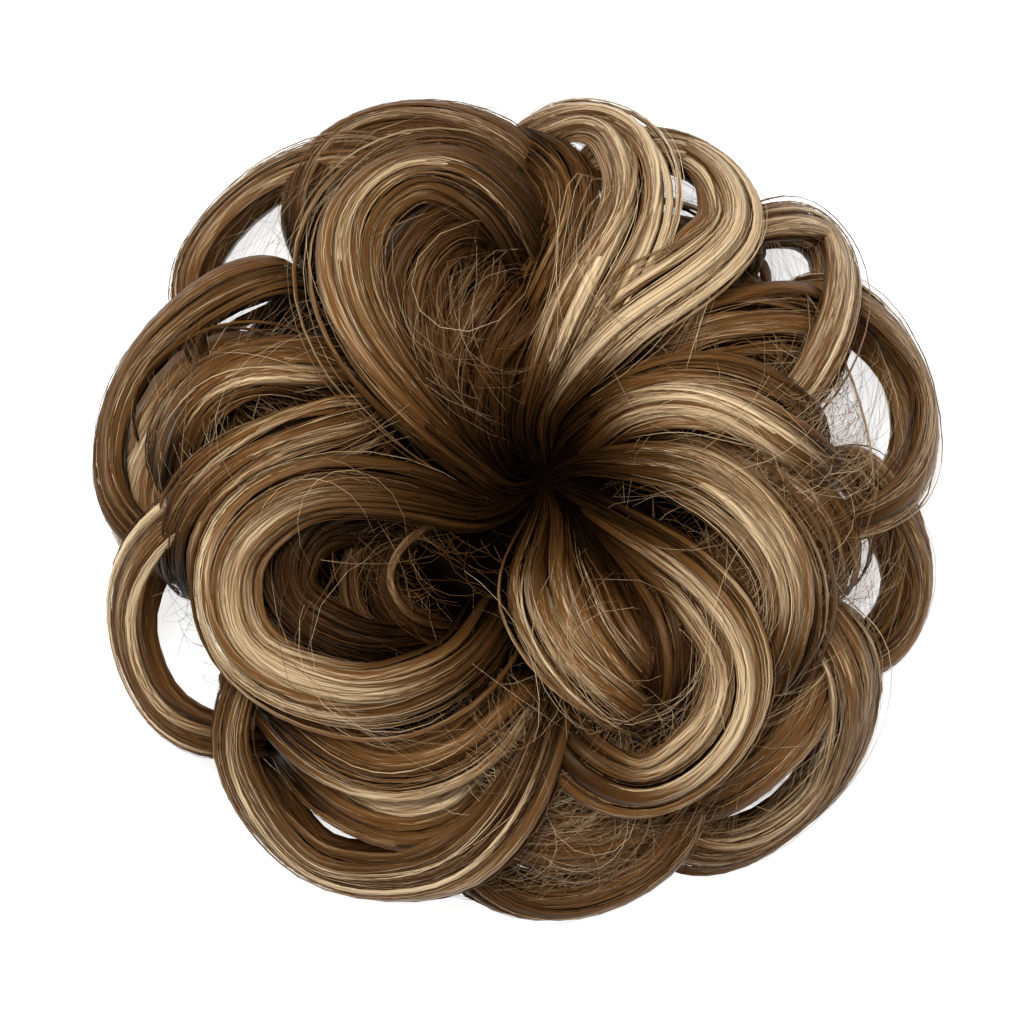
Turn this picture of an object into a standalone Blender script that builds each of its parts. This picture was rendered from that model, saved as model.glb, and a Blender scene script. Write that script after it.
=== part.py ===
"""Top knot hairpiece: looped locks of hair in four courses, sewn on a ring, with an elastic band below.

It lies crown up. The origin is the centre of the base, +Z is up and +Y is the back edge. A lock's line is a
few stations. Each is a bearing about the eye of the swirl, counter-clockwise from +X, a reach from the eye,
0, to the rim circle, 1, and a lift from the base, 0, to the outer form, 1. Lengths are in metres.
"""
import math
from typing import NamedTuple

import bmesh
import bpy
from mathutils import Vector

# Outer form
BUN_RADIUS = 0.0735          # circle that the outermost loops reach
BUN_HEIGHT = 0.0610          # top of the highest lock
RIM_HEIGHT = 0.0190          # height of the form where it is widest
EYE_HEIGHT = 0.0300          # height of the form at the bottom of the eye
EYE_X = 0.0054               # the swirl's eye is a little off the centre
EYE_Y = 0.0046
HEM_HEIGHT = 0.0030          # line that the lowest hair keeps above the surface
SUMMIT_REACH = 0.43          # share of the reach where the form is highest
EYE_ROUND = 1.5              # power of the funnel's slope: 1 is a bowl, 2 is a trumpet
EYE_LEAN = 55                # degrees that a lock leans towards the eye at its bottom
RIM_LEAN = 72                # degrees that a lock leans outward at the rim

# Locks
LOCK_WIDTH = 0.0100          # a lock whose width share is 1
LOCK_THICKNESS = 0.0046
SEGMENT_LENGTH = 0.0125      # of lock between two sections
FEWEST_SEGMENTS = 6
CURVE_STEPS = 16             # steps that each span between two stations is measured in
END_TAPER = 0.50             # width share at a lock's two ends
TAPER_RUN = 0.22             # share of the length over which an end narrows
END_THICKNESS = 0.78         # thickness share at a lock's two ends
THIN_LOCK = 0.45             # thickness share of a lock as its width nears nothing
SECTION = ((0.50, 0.00), (0.27, 0.50), (-0.27, 0.50), (-0.50, 0.00), (-0.27, -0.50), (0.27, -0.50))

# Elastic band
BAND_INNER_RADIUS = 0.0240
BAND_THICKNESS = 0.0066      # from the hole to the outside
BAND_HEIGHT = 0.0084
BAND_ROUND = 0.0016          # radius of its edges
BAND_SEGMENTS = 20

# Sewn rings that carry the courses, and the roll under the crown
RING_INNER_RADIUS = 0.0250
UNDER_RING_RADIUS = 0.0570
UNDER_RING_HEIGHT = 0.0070
RIM_RING_RADIUS = 0.0520
RIM_RING_HEIGHT = 0.0080
MIDDLE_RING_RADIUS = 0.0465
MIDDLE_RING_HEIGHT = 0.0090
COLLAR_OUTER_RISE = 0.0060   # of the middle ring's collar, which packs the space round the roll
COLLAR_INNER_RISE = 0.0140
RING_SEGMENTS = 20
ROLL_RADIUS = 0.0330
ROLL_FILL = 0.66             # share of the height from the roll's base to the form that the roll fills
ROLL_SHOULDER = 4            # power of its shoulder: 2 is round, more is squarer
ROLL_EDGE_HEIGHT = 0.0030
ROLL_SECTIONS = 7
ROLL_SPACING = 0.8           # power that draws the sections together towards the edge
SEAT_DEPTH = 0.0035          # how deep a lock's end is sewn in
CLEARANCE = 0.0003           # between a piece and those that it is cut clear of
STACK_GAP = 0.0004           # between the band, the rings and the roll, one above the other
MERGE_DISTANCE = 0.00002     # corners closer than this are one

# Lower halves of the rim's loops
UNDER_START_REACH = 0.74     # they follow the loop above from this reach outward
UNDER_REACH = 0.975          # share of the reach of the loop above
UNDER_LIFT = 0.42            # share of the lift of the loop above
UNDER_WIDTH = 1.15           # share of the width of the loop above


class Lock(NamedTuple):
    """A lock of hair and the stations of its line, from its root to its tucked end."""

    name: str
    width: float             # share of LOCK_WIDTH
    stations: tuple          # (bearing in degrees, reach, lift) at each bend


CROWN_LOCKS = (
    Lock("back_left_loop", 1.10, (
        (205, 0.10, 0.75), (152, 0.36, 1.00), (139, 0.61, 1.02), (126, 0.78, 1.02), (111, 0.82, 1.00),
        (99, 0.70, 0.98), (91, 0.48, 0.75))),
    Lock("back_left_inner_loop", 0.85, (
        (165, 0.17, 0.70), (140, 0.40, 0.86), (125, 0.59, 0.88), (110, 0.68, 0.88), (98, 0.62, 0.70))),
    Lock("back_left_core_curl", 0.85, (
        (166, 0.12, 0.65), (133, 0.25, 0.82), (118, 0.36, 0.84), (104, 0.45, 0.84), (95, 0.54, 0.65))),
    Lock("back_lock", 1.15, (
        (115, 0.16, 0.70), (80, 0.44, 0.98), (71, 0.72, 1.03), (76, 0.89, 1.00), (84, 0.935, 0.95),
        (93, 0.875, 0.80))),
    Lock("back_right_lock", 0.90, (
        (92, 0.18, 0.75), (66, 0.44, 1.00), (54, 0.68, 1.04), (53, 0.83, 1.04), (61, 0.925, 1.00),
        (70, 0.93, 0.80))),
    Lock("right_upper_curl", 0.90, (
        (56, 0.16, 0.75), (43, 0.34, 0.98), (30, 0.51, 1.00), (17, 0.63, 0.98), (7, 0.70, 0.80))),
    Lock("right_thin_curl", 0.45, (
        (36, 0.13, 0.85), (41, 0.29, 1.02), (28, 0.45, 1.04), (14, 0.58, 1.04), (1, 0.74, 0.95))),
    Lock("right_lock", 1.05, (
        (28, 0.12, 0.75), (3, 0.40, 1.00), (345, 0.61, 1.03), (331, 0.71, 1.02), (314, 0.74, 0.80))),
    Lock("front_right_loop", 0.95, (
        (330, 0.15, 0.75), (326, 0.44, 0.98), (317, 0.64, 1.02), (304, 0.73, 1.02), (288, 0.74, 1.00),
        (276, 0.63, 0.95), (268, 0.48, 0.75))),
    Lock("front_right_inner_loop", 0.65, (
        (322, 0.20, 0.70), (319, 0.34, 0.86), (312, 0.47, 0.90), (303, 0.57, 0.90), (294, 0.64, 0.75))),
    Lock("front_curl", 0.60, (
        (262, 0.10, 0.75), (257, 0.22, 0.96), (268, 0.34, 1.00), (280, 0.46, 1.00), (293, 0.61, 0.88))),
    Lock("front_inner_curl", 0.60, (
        (300, 0.08, 0.70), (280, 0.18, 0.88), (282, 0.29, 0.95), (287, 0.41, 0.95), (294, 0.55, 0.80))),
    Lock("front_core_curl", 0.65, (
        (312, 0.14, 0.60), (300, 0.26, 0.80), (297, 0.37, 0.88), (296, 0.47, 0.88), (298, 0.58, 0.72))),
    Lock("left_loop", 1.10, (
        (210, 0.16, 0.72), (184, 0.32, 0.98), (182, 0.54, 1.02), (193, 0.71, 1.02), (210, 0.75, 1.01),
        (230, 0.63, 1.01), (247, 0.46, 0.98), (258, 0.26, 0.72))),
    Lock("left_inner_loop", 0.75, (
        (190, 0.30, 0.70), (189, 0.52, 0.86), (203, 0.62, 0.88), (221, 0.56, 0.86), (238, 0.46, 0.70))),
    Lock("left_core_curl", 0.60, (
        (198, 0.32, 0.60), (207, 0.42, 0.72), (217, 0.45, 0.76), (230, 0.45, 0.76), (246, 0.40, 0.62))),
)

MIDDLE_LOCKS = (
    Lock("left_back_lock", 1.05, (
        (152, 0.52, 0.72), (157, 0.68, 0.90), (163, 0.78, 0.95), (171, 0.83, 0.92), (180, 0.84, 0.72))),
    Lock("left_lock", 1.15, (
        (160, 0.40, 0.74), (170, 0.55, 0.92), (178, 0.70, 0.95), (186, 0.80, 0.92), (195, 0.83, 0.74))),
    Lock("left_front_band", 1.00, (
        (266, 0.46, 0.72), (254, 0.61, 0.88), (241, 0.72, 0.90), (227, 0.75, 0.88), (213, 0.76, 0.72))),
    Lock("front_left_band", 0.95, (
        (267, 0.58, 0.68), (257, 0.75, 0.82), (246, 0.82, 0.84), (234, 0.82, 0.78), (223, 0.79, 0.62))),
    Lock("front_band", 0.90, (
        (257, 0.66, 0.66), (264, 0.78, 0.80), (274, 0.82, 0.84), (284, 0.83, 0.80), (293, 0.82, 0.66))),
    Lock("front_right_band", 1.00, (
        (333, 0.78, 0.70), (322, 0.83, 0.84), (311, 0.84, 0.86), (300, 0.82, 0.84), (289, 0.78, 0.68))),
    Lock("right_front_fill", 1.10, (
        (340, 0.44, 0.72), (334, 0.56, 0.86), (325, 0.65, 0.88), (314, 0.70, 0.86), (303, 0.70, 0.70))),
    Lock("right_fill", 1.10, (
        (12, 0.44, 0.74), (4, 0.58, 0.88), (356, 0.70, 0.90), (348, 0.77, 0.88), (340, 0.78, 0.70))),
    Lock("right_back_fill", 1.10, (
        (54, 0.42, 0.74), (45, 0.55, 0.88), (37, 0.67, 0.90), (30, 0.78, 0.86), (22, 0.82, 0.70))),
    Lock("back_fill", 1.10, (
        (94, 0.42, 0.74), (88, 0.56, 0.86), (84, 0.70, 0.88), (89, 0.81, 0.86), (98, 0.86, 0.70))),
)

RIM_LOCKS = (
    Lock("back_left_rim", 0.75, (
        (92, 0.78, 0.78), (99, 0.875, 0.92), (109, 0.95, 0.96), (120, 0.975, 0.95), (130, 0.91, 0.84),
        (136, 0.81, 0.66))),
    Lock("left_back_rim", 0.55, (
        (113, 0.86, 0.76), (124, 0.96, 0.92), (137, 0.99, 0.95), (149, 0.97, 0.94), (157, 0.89, 0.84),
        (162, 0.80, 0.66))),
    Lock("left_rim", 0.65, (
        (142, 0.78, 0.84), (152, 0.88, 0.96), (165, 0.965, 0.97), (177, 0.98, 0.95), (186, 0.93, 0.88),
        (192, 0.83, 0.68))),
    Lock("left_front_rim", 0.65, (
        (179, 0.68, 0.80), (187, 0.87, 0.94), (197, 0.975, 0.95), (209, 0.995, 0.95), (218, 0.94, 0.88),
        (224, 0.83, 0.68))),
    Lock("front_left_rim", 0.90, (
        (211, 0.74, 0.78), (221, 0.90, 0.95), (239, 0.98, 0.96), (255, 0.89, 1.00), (265, 0.72, 1.02),
        (272, 0.52, 0.88))),
    Lock("front_rim", 0.62, (
        (296, 0.80, 0.76), (289, 0.91, 0.90), (276, 0.965, 0.92), (265, 0.945, 0.92), (257, 0.87, 0.82),
        (252, 0.79, 0.66))),
    Lock("front_right_rim", 0.88, (
        (335, 0.77, 0.88), (327, 0.91, 0.99), (313, 0.995, 0.97), (300, 0.985, 0.95), (291, 0.915, 0.86),
        (286, 0.81, 0.68))),
    Lock("right_front_rim", 0.68, (
        (4, 0.80, 0.76), (355, 0.90, 0.90), (345, 0.98, 0.92), (335, 0.965, 0.92), (329, 0.89, 0.84),
        (326, 0.80, 0.66))),
    Lock("right_rim", 0.70, (
        (36, 0.87, 0.78), (26, 0.97, 0.92), (14, 1.015, 0.95), (2, 0.965, 0.96), (354, 0.85, 0.94),
        (349, 0.70, 0.84))),
    Lock("right_back_rim", 0.72, (
        (54, 0.79, 0.82), (48, 0.925, 0.95), (41, 0.995, 0.97), (32, 0.92, 1.00), (22, 0.76, 0.98),
        (12, 0.58, 0.88), (9, 0.46, 0.74))),
    Lock("back_right_rim", 0.55, (
        (83, 0.81, 0.76), (75, 0.90, 0.90), (66, 0.945, 0.92), (57, 0.92, 0.90), (50, 0.84, 0.80),
        (46, 0.76, 0.64))),
)

# Tones of the hair, as linear red, green and blue, and each material's roughness
HAIR_TONES = {
    "crown_locks": (0.32, 0.20, 0.095),
    "middle_locks": (0.16, 0.088, 0.038),
    "rim_locks": (0.24, 0.145, 0.066),
    "under_locks": (0.11, 0.058, 0.024),
}
HAIR_ROUGHNESS = 0.42
ELASTIC_TONE = (0.020, 0.012, 0.007)
ELASTIC_ROUGHNESS = 0.85

EYE = Vector((EYE_X, EYE_Y, 0.0))
TOP_LIFT = max(station[2] for lock in CROWN_LOCKS for station in lock.stations)
SUMMIT_HEIGHT = HEM_HEIGHT + (BUN_HEIGHT - LOCK_THICKNESS / 2 - HEM_HEIGHT) / TOP_LIFT


class Ring(NamedTuple):
    """A sewn ring about the Z axis that carries a course of locks."""

    inner_radius: float
    outer_radius: float
    bottom: float
    top: float
    collar: tuple = ()       # (radius, height) of its collar's upper corners, from the outside in


class Course(NamedTuple):
    """Locks that are one piece with the ring, or else the roll, that they are sewn on."""

    name: str
    locks: tuple
    ring: Ring | None
    end_sewn: bool           # whether both ends of each lock are sewn in


BAND_OUTER_RADIUS = BAND_INNER_RADIUS + BAND_THICKNESS
UNDER_RING = Ring(BAND_OUTER_RADIUS + STACK_GAP, UNDER_RING_RADIUS, HEM_HEIGHT / 2,
                  HEM_HEIGHT / 2 + UNDER_RING_HEIGHT)
RIM_RING_BOTTOM = max(UNDER_RING.top, BAND_HEIGHT) + STACK_GAP
RIM_RING = Ring(RING_INNER_RADIUS, RIM_RING_RADIUS, RIM_RING_BOTTOM, RIM_RING_BOTTOM + RIM_RING_HEIGHT)
MIDDLE_RING_BOTTOM = RIM_RING.top + STACK_GAP
MIDDLE_RING_TOP = MIDDLE_RING_BOTTOM + MIDDLE_RING_HEIGHT
COLLAR_INNER_RADIUS = ROLL_RADIUS + math.hypot(EYE_X, EYE_Y) + STACK_GAP
MIDDLE_RING = Ring(RING_INNER_RADIUS, MIDDLE_RING_RADIUS, MIDDLE_RING_BOTTOM, MIDDLE_RING_TOP,
                   ((MIDDLE_RING_RADIUS, MIDDLE_RING_TOP + COLLAR_OUTER_RISE),
                    (COLLAR_INNER_RADIUS, MIDDLE_RING_TOP + COLLAR_INNER_RISE)))
ROLL_BOTTOM = MIDDLE_RING_TOP + STACK_GAP


def eye_to_rim(bearing):
    """Distance from the eye to the rim circle along a bearing in radians."""
    along = EYE_X * math.cos(bearing) + EYE_Y * math.sin(bearing)
    return -along + math.sqrt(along ** 2 + BUN_RADIUS ** 2 - EYE_X ** 2 - EYE_Y ** 2)


def polar(point):
    """Bearing in radians and reach of a point."""
    bearing = math.atan2(point.y - EYE_Y, point.x - EYE_X)
    return bearing, math.hypot(point.x - EYE_X, point.y - EYE_Y) / eye_to_rim(bearing)


def form_height(reach):
    """Height of the outer form: a funnel inside the summit and a quarter ellipse outside it."""
    if reach < SUMMIT_REACH:
        share = 1 - reach / SUMMIT_REACH
        return EYE_HEIGHT + (SUMMIT_HEIGHT - EYE_HEIGHT) * (1 - share ** 2) ** EYE_ROUND
    share = min((reach - SUMMIT_REACH) / (1 - SUMMIT_REACH), 1.0)
    return RIM_HEIGHT + (SUMMIT_HEIGHT - RIM_HEIGHT) * math.sqrt(1 - share ** 2)


def form_normal(bearing, reach):
    """Direction that a lock on the form faces: up at the summit, out at the rim, towards the eye inside."""
    outward = Vector((math.cos(bearing), math.sin(bearing), 0.0))
    if reach < SUMMIT_REACH:
        lean = -math.radians(EYE_LEAN) * (1 - reach / SUMMIT_REACH)
    else:
        share = min((reach - SUMMIT_REACH) / (1 - SUMMIT_REACH), 1.0)
        lean = math.radians(RIM_LEAN) * math.asin(share) / math.asin(1.0)
    return outward * math.sin(lean) + Vector((0, 0, 1)) * math.cos(lean)


def place(station):
    """Point of a station."""
    bearing, reach, lift = math.radians(station[0]), station[1], station[2]
    distance = reach * eye_to_rim(bearing)
    height = HEM_HEIGHT + lift * (form_height(reach) - HEM_HEIGHT)
    return EYE + Vector((distance * math.cos(bearing), distance * math.sin(bearing), height))


def ring_seat(point, ring):
    """Point inside a ring's outer edge where a lock that ends near the given point is sewn in."""
    share = (ring.outer_radius - SEAT_DEPTH) / math.hypot(point.x, point.y)
    return Vector((point.x * share, point.y * share, (ring.bottom + ring.top) / 2))


def roll_top(radius):
    """Height of the roll's upper side at a distance from the eye."""
    edge = math.sqrt(max(1 - (radius / ROLL_RADIUS) ** ROLL_SHOULDER, 0.0))
    return ROLL_BOTTOM + ROLL_FILL * (form_height(radius / BUN_RADIUS) - ROLL_BOTTOM) * edge


def roll_seat(point):
    """Point inside the roll where a lock that starts near the given point is sewn in."""
    offset = point - EYE
    radius = min(math.hypot(offset.x, offset.y), ROLL_RADIUS - SEAT_DEPTH)
    turn = math.atan2(offset.y, offset.x)
    height = max(roll_top(radius) - SEAT_DEPTH, ROLL_BOTTOM + SEAT_DEPTH)
    return Vector((EYE_X + radius * math.cos(turn), EYE_Y + radius * math.sin(turn), height))


def smooth_line(points):
    """Points along a smooth curve through the given points, about SEGMENT_LENGTH apart."""
    ends = [points[0] * 2 - points[1], *points, points[-1] * 2 - points[-2]]
    fine = []
    for a, b, c, d in zip(ends, ends[1:], ends[2:], ends[3:]):
        for step in range(CURVE_STEPS):
            t = step / CURVE_STEPS
            fine.append(0.5 * ((2 * b) + (c - a) * t + (2 * a - 5 * b + 4 * c - d) * t ** 2
                               + (3 * b - a - 3 * c + d) * t ** 3))
    fine.append(points[-1].copy())
    lengths = [0.0]
    for a, b in zip(fine, fine[1:]):
        lengths.append(lengths[-1] + (b - a).length)
    count = max(round(lengths[-1] / SEGMENT_LENGTH), FEWEST_SEGMENTS)
    line, index = [], 0
    for step in range(count + 1):
        target = lengths[-1] * step / count
        while index < len(fine) - 2 and lengths[index + 1] < target:
            index += 1
        span = lengths[index + 1] - lengths[index]
        share = (target - lengths[index]) / span if span else 0.0
        line.append(fine[index].lerp(fine[index + 1], share))
    return line


def lock_line(lock, course):
    """Line of a lock from where it is sewn in to its tucked end, or to a second seam."""
    points = [place(station) for station in lock.stations]
    if course.ring is None:
        points[0] = roll_seat(points[0])
    else:
        points.insert(0, ring_seat(points[0], course.ring))
    if course.end_sewn:
        points.append(ring_seat(points[-1], course.ring))
    return smooth_line(points)


def lock_frames(line):
    """Tangent and facing at each point of a line, carried from its middle to both ends.

    The facing follows the form's normal, less so the more the lock runs along that normal.
    """
    tangents = [(line[min(index + 1, len(line) - 1)] - line[max(index - 1, 0)]).normalized()
                for index in range(len(line))]
    facings = [None] * len(line)
    middle = len(line) // 2
    for indices in (range(middle, len(line)), range(middle, -1, -1)):
        carried = form_normal(*polar(line[middle]))
        for index in indices:
            tangent, normal = tangents[index], form_normal(*polar(line[index]))
            square = normal - tangent * normal.dot(tangent)
            carried = carried - tangent * carried.dot(tangent)
            trust = min(square.length, 1.0) ** 2
            carried = (carried.normalized() * (1 - trust) + square * trust).normalized()
            facings[index] = carried
    return list(zip(tangents, facings))


def lock_size(lock, share):
    """Width and thickness of a lock at a share of its length."""
    full = math.sin(min(min(share, 1 - share) / TAPER_RUN, 1.0) * math.pi / 2)
    width = LOCK_WIDTH * lock.width * (END_TAPER + (1 - END_TAPER) * full)
    thickness = LOCK_THICKNESS * min(THIN_LOCK + (1 - THIN_LOCK) * lock.width, 1.0)
    return width, thickness * (END_THICKNESS + (1 - END_THICKNESS) * full)


def make_lock(lock, course, swell, collection):
    """A closed flat tube along a lock's line. swell widens it all round, to cut a clearance."""
    line = lock_line(lock, course)
    last = len(line) - 1
    mesh = bmesh.new()
    rings = []
    for index, (point, (tangent, facing)) in enumerate(zip(line, lock_frames(line))):
        side = tangent.cross(facing)
        width, thickness = lock_size(lock, index / last)
        shift = tangent * swell * (1 if index == last else -1 if index == 0 else 0)
        rings.append([mesh.verts.new(point + shift + side * x * (width + 2 * swell)
                                     + facing * y * (thickness + 2 * swell)) for x, y in SECTION])
    for ring, following in zip(rings, rings[1:]):
        for corner in range(len(SECTION)):
            after = (corner + 1) % len(SECTION)
            mesh.faces.new((ring[corner], ring[after], following[after]))
            mesh.faces.new((ring[corner], following[after], following[corner]))
    mesh.faces.new(rings[0][::-1])
    mesh.faces.new(rings[-1])
    bmesh.ops.recalc_face_normals(mesh, faces=mesh.faces)
    return add_object(lock.name, mesh, collection)


def add_object(name, mesh, collection):
    """Object of a bmesh, which is freed."""
    data = bpy.data.meshes.new(name)
    mesh.to_mesh(data)
    mesh.free()
    thing = bpy.data.objects.new(name, data)
    collection.objects.link(thing)
    return thing


def make_turned(name, profile, centre, segments, collection):
    """Solid of revolution from an outline of (radius, height) that a screw modifier turns about its axis."""
    mesh = bmesh.new()
    verts = [mesh.verts.new((radius, 0.0, height)) for radius, height in profile]
    closed = min(radius for radius, height in profile) > 0
    for a, b in zip(verts, verts[1:] + verts[:1] if closed else verts[1:]):
        mesh.edges.new((a, b))
    thing = add_object(name, mesh, collection)
    thing.location = centre
    screw = thing.modifiers.new("turn", "SCREW")
    screw.steps = screw.render_steps = segments
    screw.use_merge_vertices = True
    screw.merge_threshold = 0.00001
    return thing


def make_ring(name, ring, swell, collection):
    """Ring of the given size. swell widens it all round, to cut a clearance."""
    inner, outer = ring.inner_radius - swell, ring.outer_radius + swell
    bottom, top = ring.bottom - swell, ring.top + swell
    profile = [(outer, bottom), (inner, bottom), (inner, top)]
    if ring.collar:
        (collar_outer, low), (collar_inner, high) = ring.collar
        profile += [(collar_inner - swell, top), (collar_inner - swell, high + swell),
                    (collar_outer + swell, low + swell)]
    else:
        profile.append((outer, top))
    return make_turned(name, profile, (0, 0, 0), RING_SEGMENTS, collection)


def make_roll(name, swell, collection):
    """Domed roll of hair with the eye's hollow in its middle and a flat underside."""
    radii = [ROLL_RADIUS * (1 - index / ROLL_SECTIONS) ** ROLL_SPACING for index in range(ROLL_SECTIONS)]
    top = [(radius + swell, max(roll_top(radius), ROLL_BOTTOM + ROLL_EDGE_HEIGHT) + swell)
           for radius in radii]
    bottom = ROLL_BOTTOM - swell
    profile = [(0.0, roll_top(0.0) + swell), *reversed(top), (ROLL_RADIUS + swell, bottom), (0.0, bottom)]
    return make_turned(name, profile, EYE, RING_SEGMENTS, collection)


def make_base(name, ring, swell, collection):
    """A course's ring, or the roll when it has no ring."""
    if ring is None:
        return make_roll(name, swell, collection)
    return make_ring(name, ring, swell, collection)


def make_band(collection):
    """Elastic band: a ring with a flat underside and rounded edges."""
    inner, outer, rounding = BAND_INNER_RADIUS, BAND_OUTER_RADIUS, BAND_ROUND
    corners = (
        (outer - rounding, BAND_HEIGHT - rounding, 90), (outer - rounding, rounding, 0),
        (inner + rounding, rounding, -90), (inner + rounding, BAND_HEIGHT - rounding, -180))
    profile = []
    for radius, height, start in corners:
        for turn in (0, -90):
            angle = math.radians(start + turn)
            profile.append((radius + rounding * math.cos(angle), height + rounding * math.sin(angle)))
    return make_turned("elastic_band", profile, (0, 0, 0), BAND_SEGMENTS, collection)


def under_locks():
    """Lower half of each rim loop: the same line, drawn in and near the base."""
    for lock in RIM_LOCKS:
        stations = tuple((bearing, min(reach, 1.0) * UNDER_REACH, lift * UNDER_LIFT)
                         for bearing, reach, lift in lock.stations if reach > UNDER_START_REACH)
        yield Lock("under_" + lock.name, lock.width * UNDER_WIDTH, stations)


def add_boolean(thing, operation, collection):
    """Boolean with every object of a collection."""
    boolean = thing.modifiers.new(operation.lower(), "BOOLEAN")
    boolean.operation = operation
    boolean.operand_type = "COLLECTION"
    boolean.solver = "MANIFOLD"
    boolean.collection = collection


def guide_collection(name):
    """Collection of hidden operands."""
    collection = bpy.data.collections.new(name)
    bpy.context.scene.collection.children.link(collection)
    return collection


def hide_guides(collection):
    """Marks a collection's objects as guides."""
    for thing in collection.objects:
        thing.hide_render = True
        thing.display_type = "WIRE"


def islands(mesh):
    """Sets of faces of a bmesh that are joined over edges of exactly two faces."""
    left = set(mesh.faces)
    while left:
        group, queue = set(), [left.pop()]
        while queue:
            face = queue.pop()
            group.add(face)
            for edge in face.edges:
                if len(edge.link_faces) == 2:
                    near = [neighbour for neighbour in edge.link_faces if neighbour in left]
                    left.difference_update(near)
                    queue.extend(near)
        yield group


def settle(thing, collection):
    """Applies an object's modifiers, clears what the Booleans leave behind and keeps the largest body."""
    graph = bpy.context.evaluated_depsgraph_get()
    data = bpy.data.meshes.new_from_object(thing.evaluated_get(graph))
    mesh = bmesh.new()
    mesh.from_mesh(data)
    bmesh.ops.transform(mesh, matrix=thing.matrix_world, verts=mesh.verts)
    bmesh.ops.triangulate(mesh, faces=mesh.faces)
    bmesh.ops.remove_doubles(mesh, verts=mesh.verts, dist=MERGE_DISTANCE)
    bmesh.ops.dissolve_degenerate(mesh, edges=mesh.edges, dist=MERGE_DISTANCE)
    bmesh.ops.triangulate(mesh, faces=mesh.faces)
    groups = sorted(islands(mesh), key=len, reverse=True)
    loose = [face for group in groups[1:] for face in group]
    bmesh.ops.delete(mesh, geom=loose, context="FACES")
    holes = [edge for edge in mesh.edges if edge.is_boundary]
    filled = bmesh.ops.holes_fill(mesh, edges=holes, sides=0)["faces"]
    bmesh.ops.triangulate(mesh, faces=filled)
    name = thing.name
    bpy.data.objects.remove(thing)
    bpy.data.meshes.remove(data)
    return add_object(name, mesh, collection)


def plain_material(name, tone, roughness):
    """Principled material of one colour."""
    material = bpy.data.materials.new(name)
    material.use_nodes = True
    shader = material.node_tree.nodes["Principled BSDF"]
    shader.inputs["Base Color"].default_value = (*tone, 1.0)
    shader.inputs["Roughness"].default_value = roughness
    shader.inputs["Metallic"].default_value = 0.0
    material.diffuse_color = (*tone, 1.0)
    return material


def build_course(course, clearances, collection):
    """One course: its base and its locks in one body, cut clear of what is above."""
    guides = guide_collection(course.name + "_guides")
    for lock in course.locks:
        make_lock(lock, course, 0.0, guides)
    thing = make_base(course.name, course.ring, 0.0, collection)
    add_boolean(thing, "UNION", guides)
    hide_guides(guides)
    thing = settle(thing, collection)
    if clearances.objects:
        add_boolean(thing, "DIFFERENCE", clearances)
        thing = settle(thing, collection)
    thing.data.materials.append(plain_material(course.name, HAIR_TONES[course.name], HAIR_ROUGHNESS))


def main():
    """Builds the hairpiece from the crown down, then the band."""
    for thing in list(bpy.data.objects):
        bpy.data.objects.remove(thing, do_unlink=True)
    parts = bpy.data.collections.new("top_knot_hairpiece")
    bpy.context.scene.collection.children.link(parts)
    courses = (
        Course("crown_locks", CROWN_LOCKS, None, False),
        Course("middle_locks", MIDDLE_LOCKS, MIDDLE_RING, False),
        Course("rim_locks", RIM_LOCKS, RIM_RING, False),
        Course("under_locks", tuple(under_locks()), UNDER_RING, True),
    )
    clearances = guide_collection("clearances")
    for course in courses:
        build_course(course, clearances, parts)
        for lock in course.locks:
            make_lock(lock, course, CLEARANCE, clearances)
        make_base(course.name + "_clearance", course.ring, CLEARANCE, clearances)
        hide_guides(clearances)
    band = make_band(parts)
    band.data.materials.append(plain_material("elastic_band", ELASTIC_TONE, ELASTIC_ROUGHNESS))


main()
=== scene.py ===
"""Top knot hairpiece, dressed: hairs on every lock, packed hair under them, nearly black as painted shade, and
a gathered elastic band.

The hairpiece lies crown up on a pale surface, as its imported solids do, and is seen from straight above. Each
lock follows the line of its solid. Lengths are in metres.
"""

import logging
import math
from collections.abc import Iterable, Sequence
from dataclasses import dataclass, field
from enum import Enum

import bmesh
import bpy
import numpy as np
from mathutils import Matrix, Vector


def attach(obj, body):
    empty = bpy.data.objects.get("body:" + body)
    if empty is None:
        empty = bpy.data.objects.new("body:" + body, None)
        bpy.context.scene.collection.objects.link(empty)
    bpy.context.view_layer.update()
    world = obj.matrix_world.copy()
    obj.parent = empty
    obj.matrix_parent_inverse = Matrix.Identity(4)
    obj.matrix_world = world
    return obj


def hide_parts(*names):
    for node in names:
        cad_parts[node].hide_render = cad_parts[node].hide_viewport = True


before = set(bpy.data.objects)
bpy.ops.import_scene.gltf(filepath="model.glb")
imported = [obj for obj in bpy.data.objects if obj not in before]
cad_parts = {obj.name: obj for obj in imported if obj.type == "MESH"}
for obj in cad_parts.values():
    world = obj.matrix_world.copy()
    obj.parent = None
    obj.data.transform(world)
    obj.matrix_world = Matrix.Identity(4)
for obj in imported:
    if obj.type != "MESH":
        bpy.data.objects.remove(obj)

LOG = logging.getLogger("hairpiece")
HAIR_MAP = "OFBake"          # the map that every piece of hair carries: u is the hair's tone, v its length
SEED = 417
MERGE = 1e-6                 # vertices that lie closer are joined
TINY = 1e-12                 # keeps a division off zero


class Tone(Enum):
    """How light the hairs of a lock are, from 0, the darkest hair, to 1, the palest streak."""

    # DEEP and SHADE are painted shade, for locks in hollows and under other locks.
    DEEP = 0.03
    SHADE = 0.11
    BROWN = 0.23
    GOLD = 0.31
    BLONDE = 0.39


class Sewing(Enum):
    """How a course's locks are held."""

    ROLL = "their first station is drawn into the roll"
    ROOT = "they rise from the ring and their end is tucked"
    BOTH = "they rise from the ring and go back to it"


class LockShape:
    """Sizes that the locks share with their solids."""

    width = 0.0100
    thickness = 0.0046
    end_taper = 0.50
    end_depth = 0.60
    taper_run = 0.22
    thin_lock = 0.45
    seat_depth = 0.0035
    samples = 73


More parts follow.
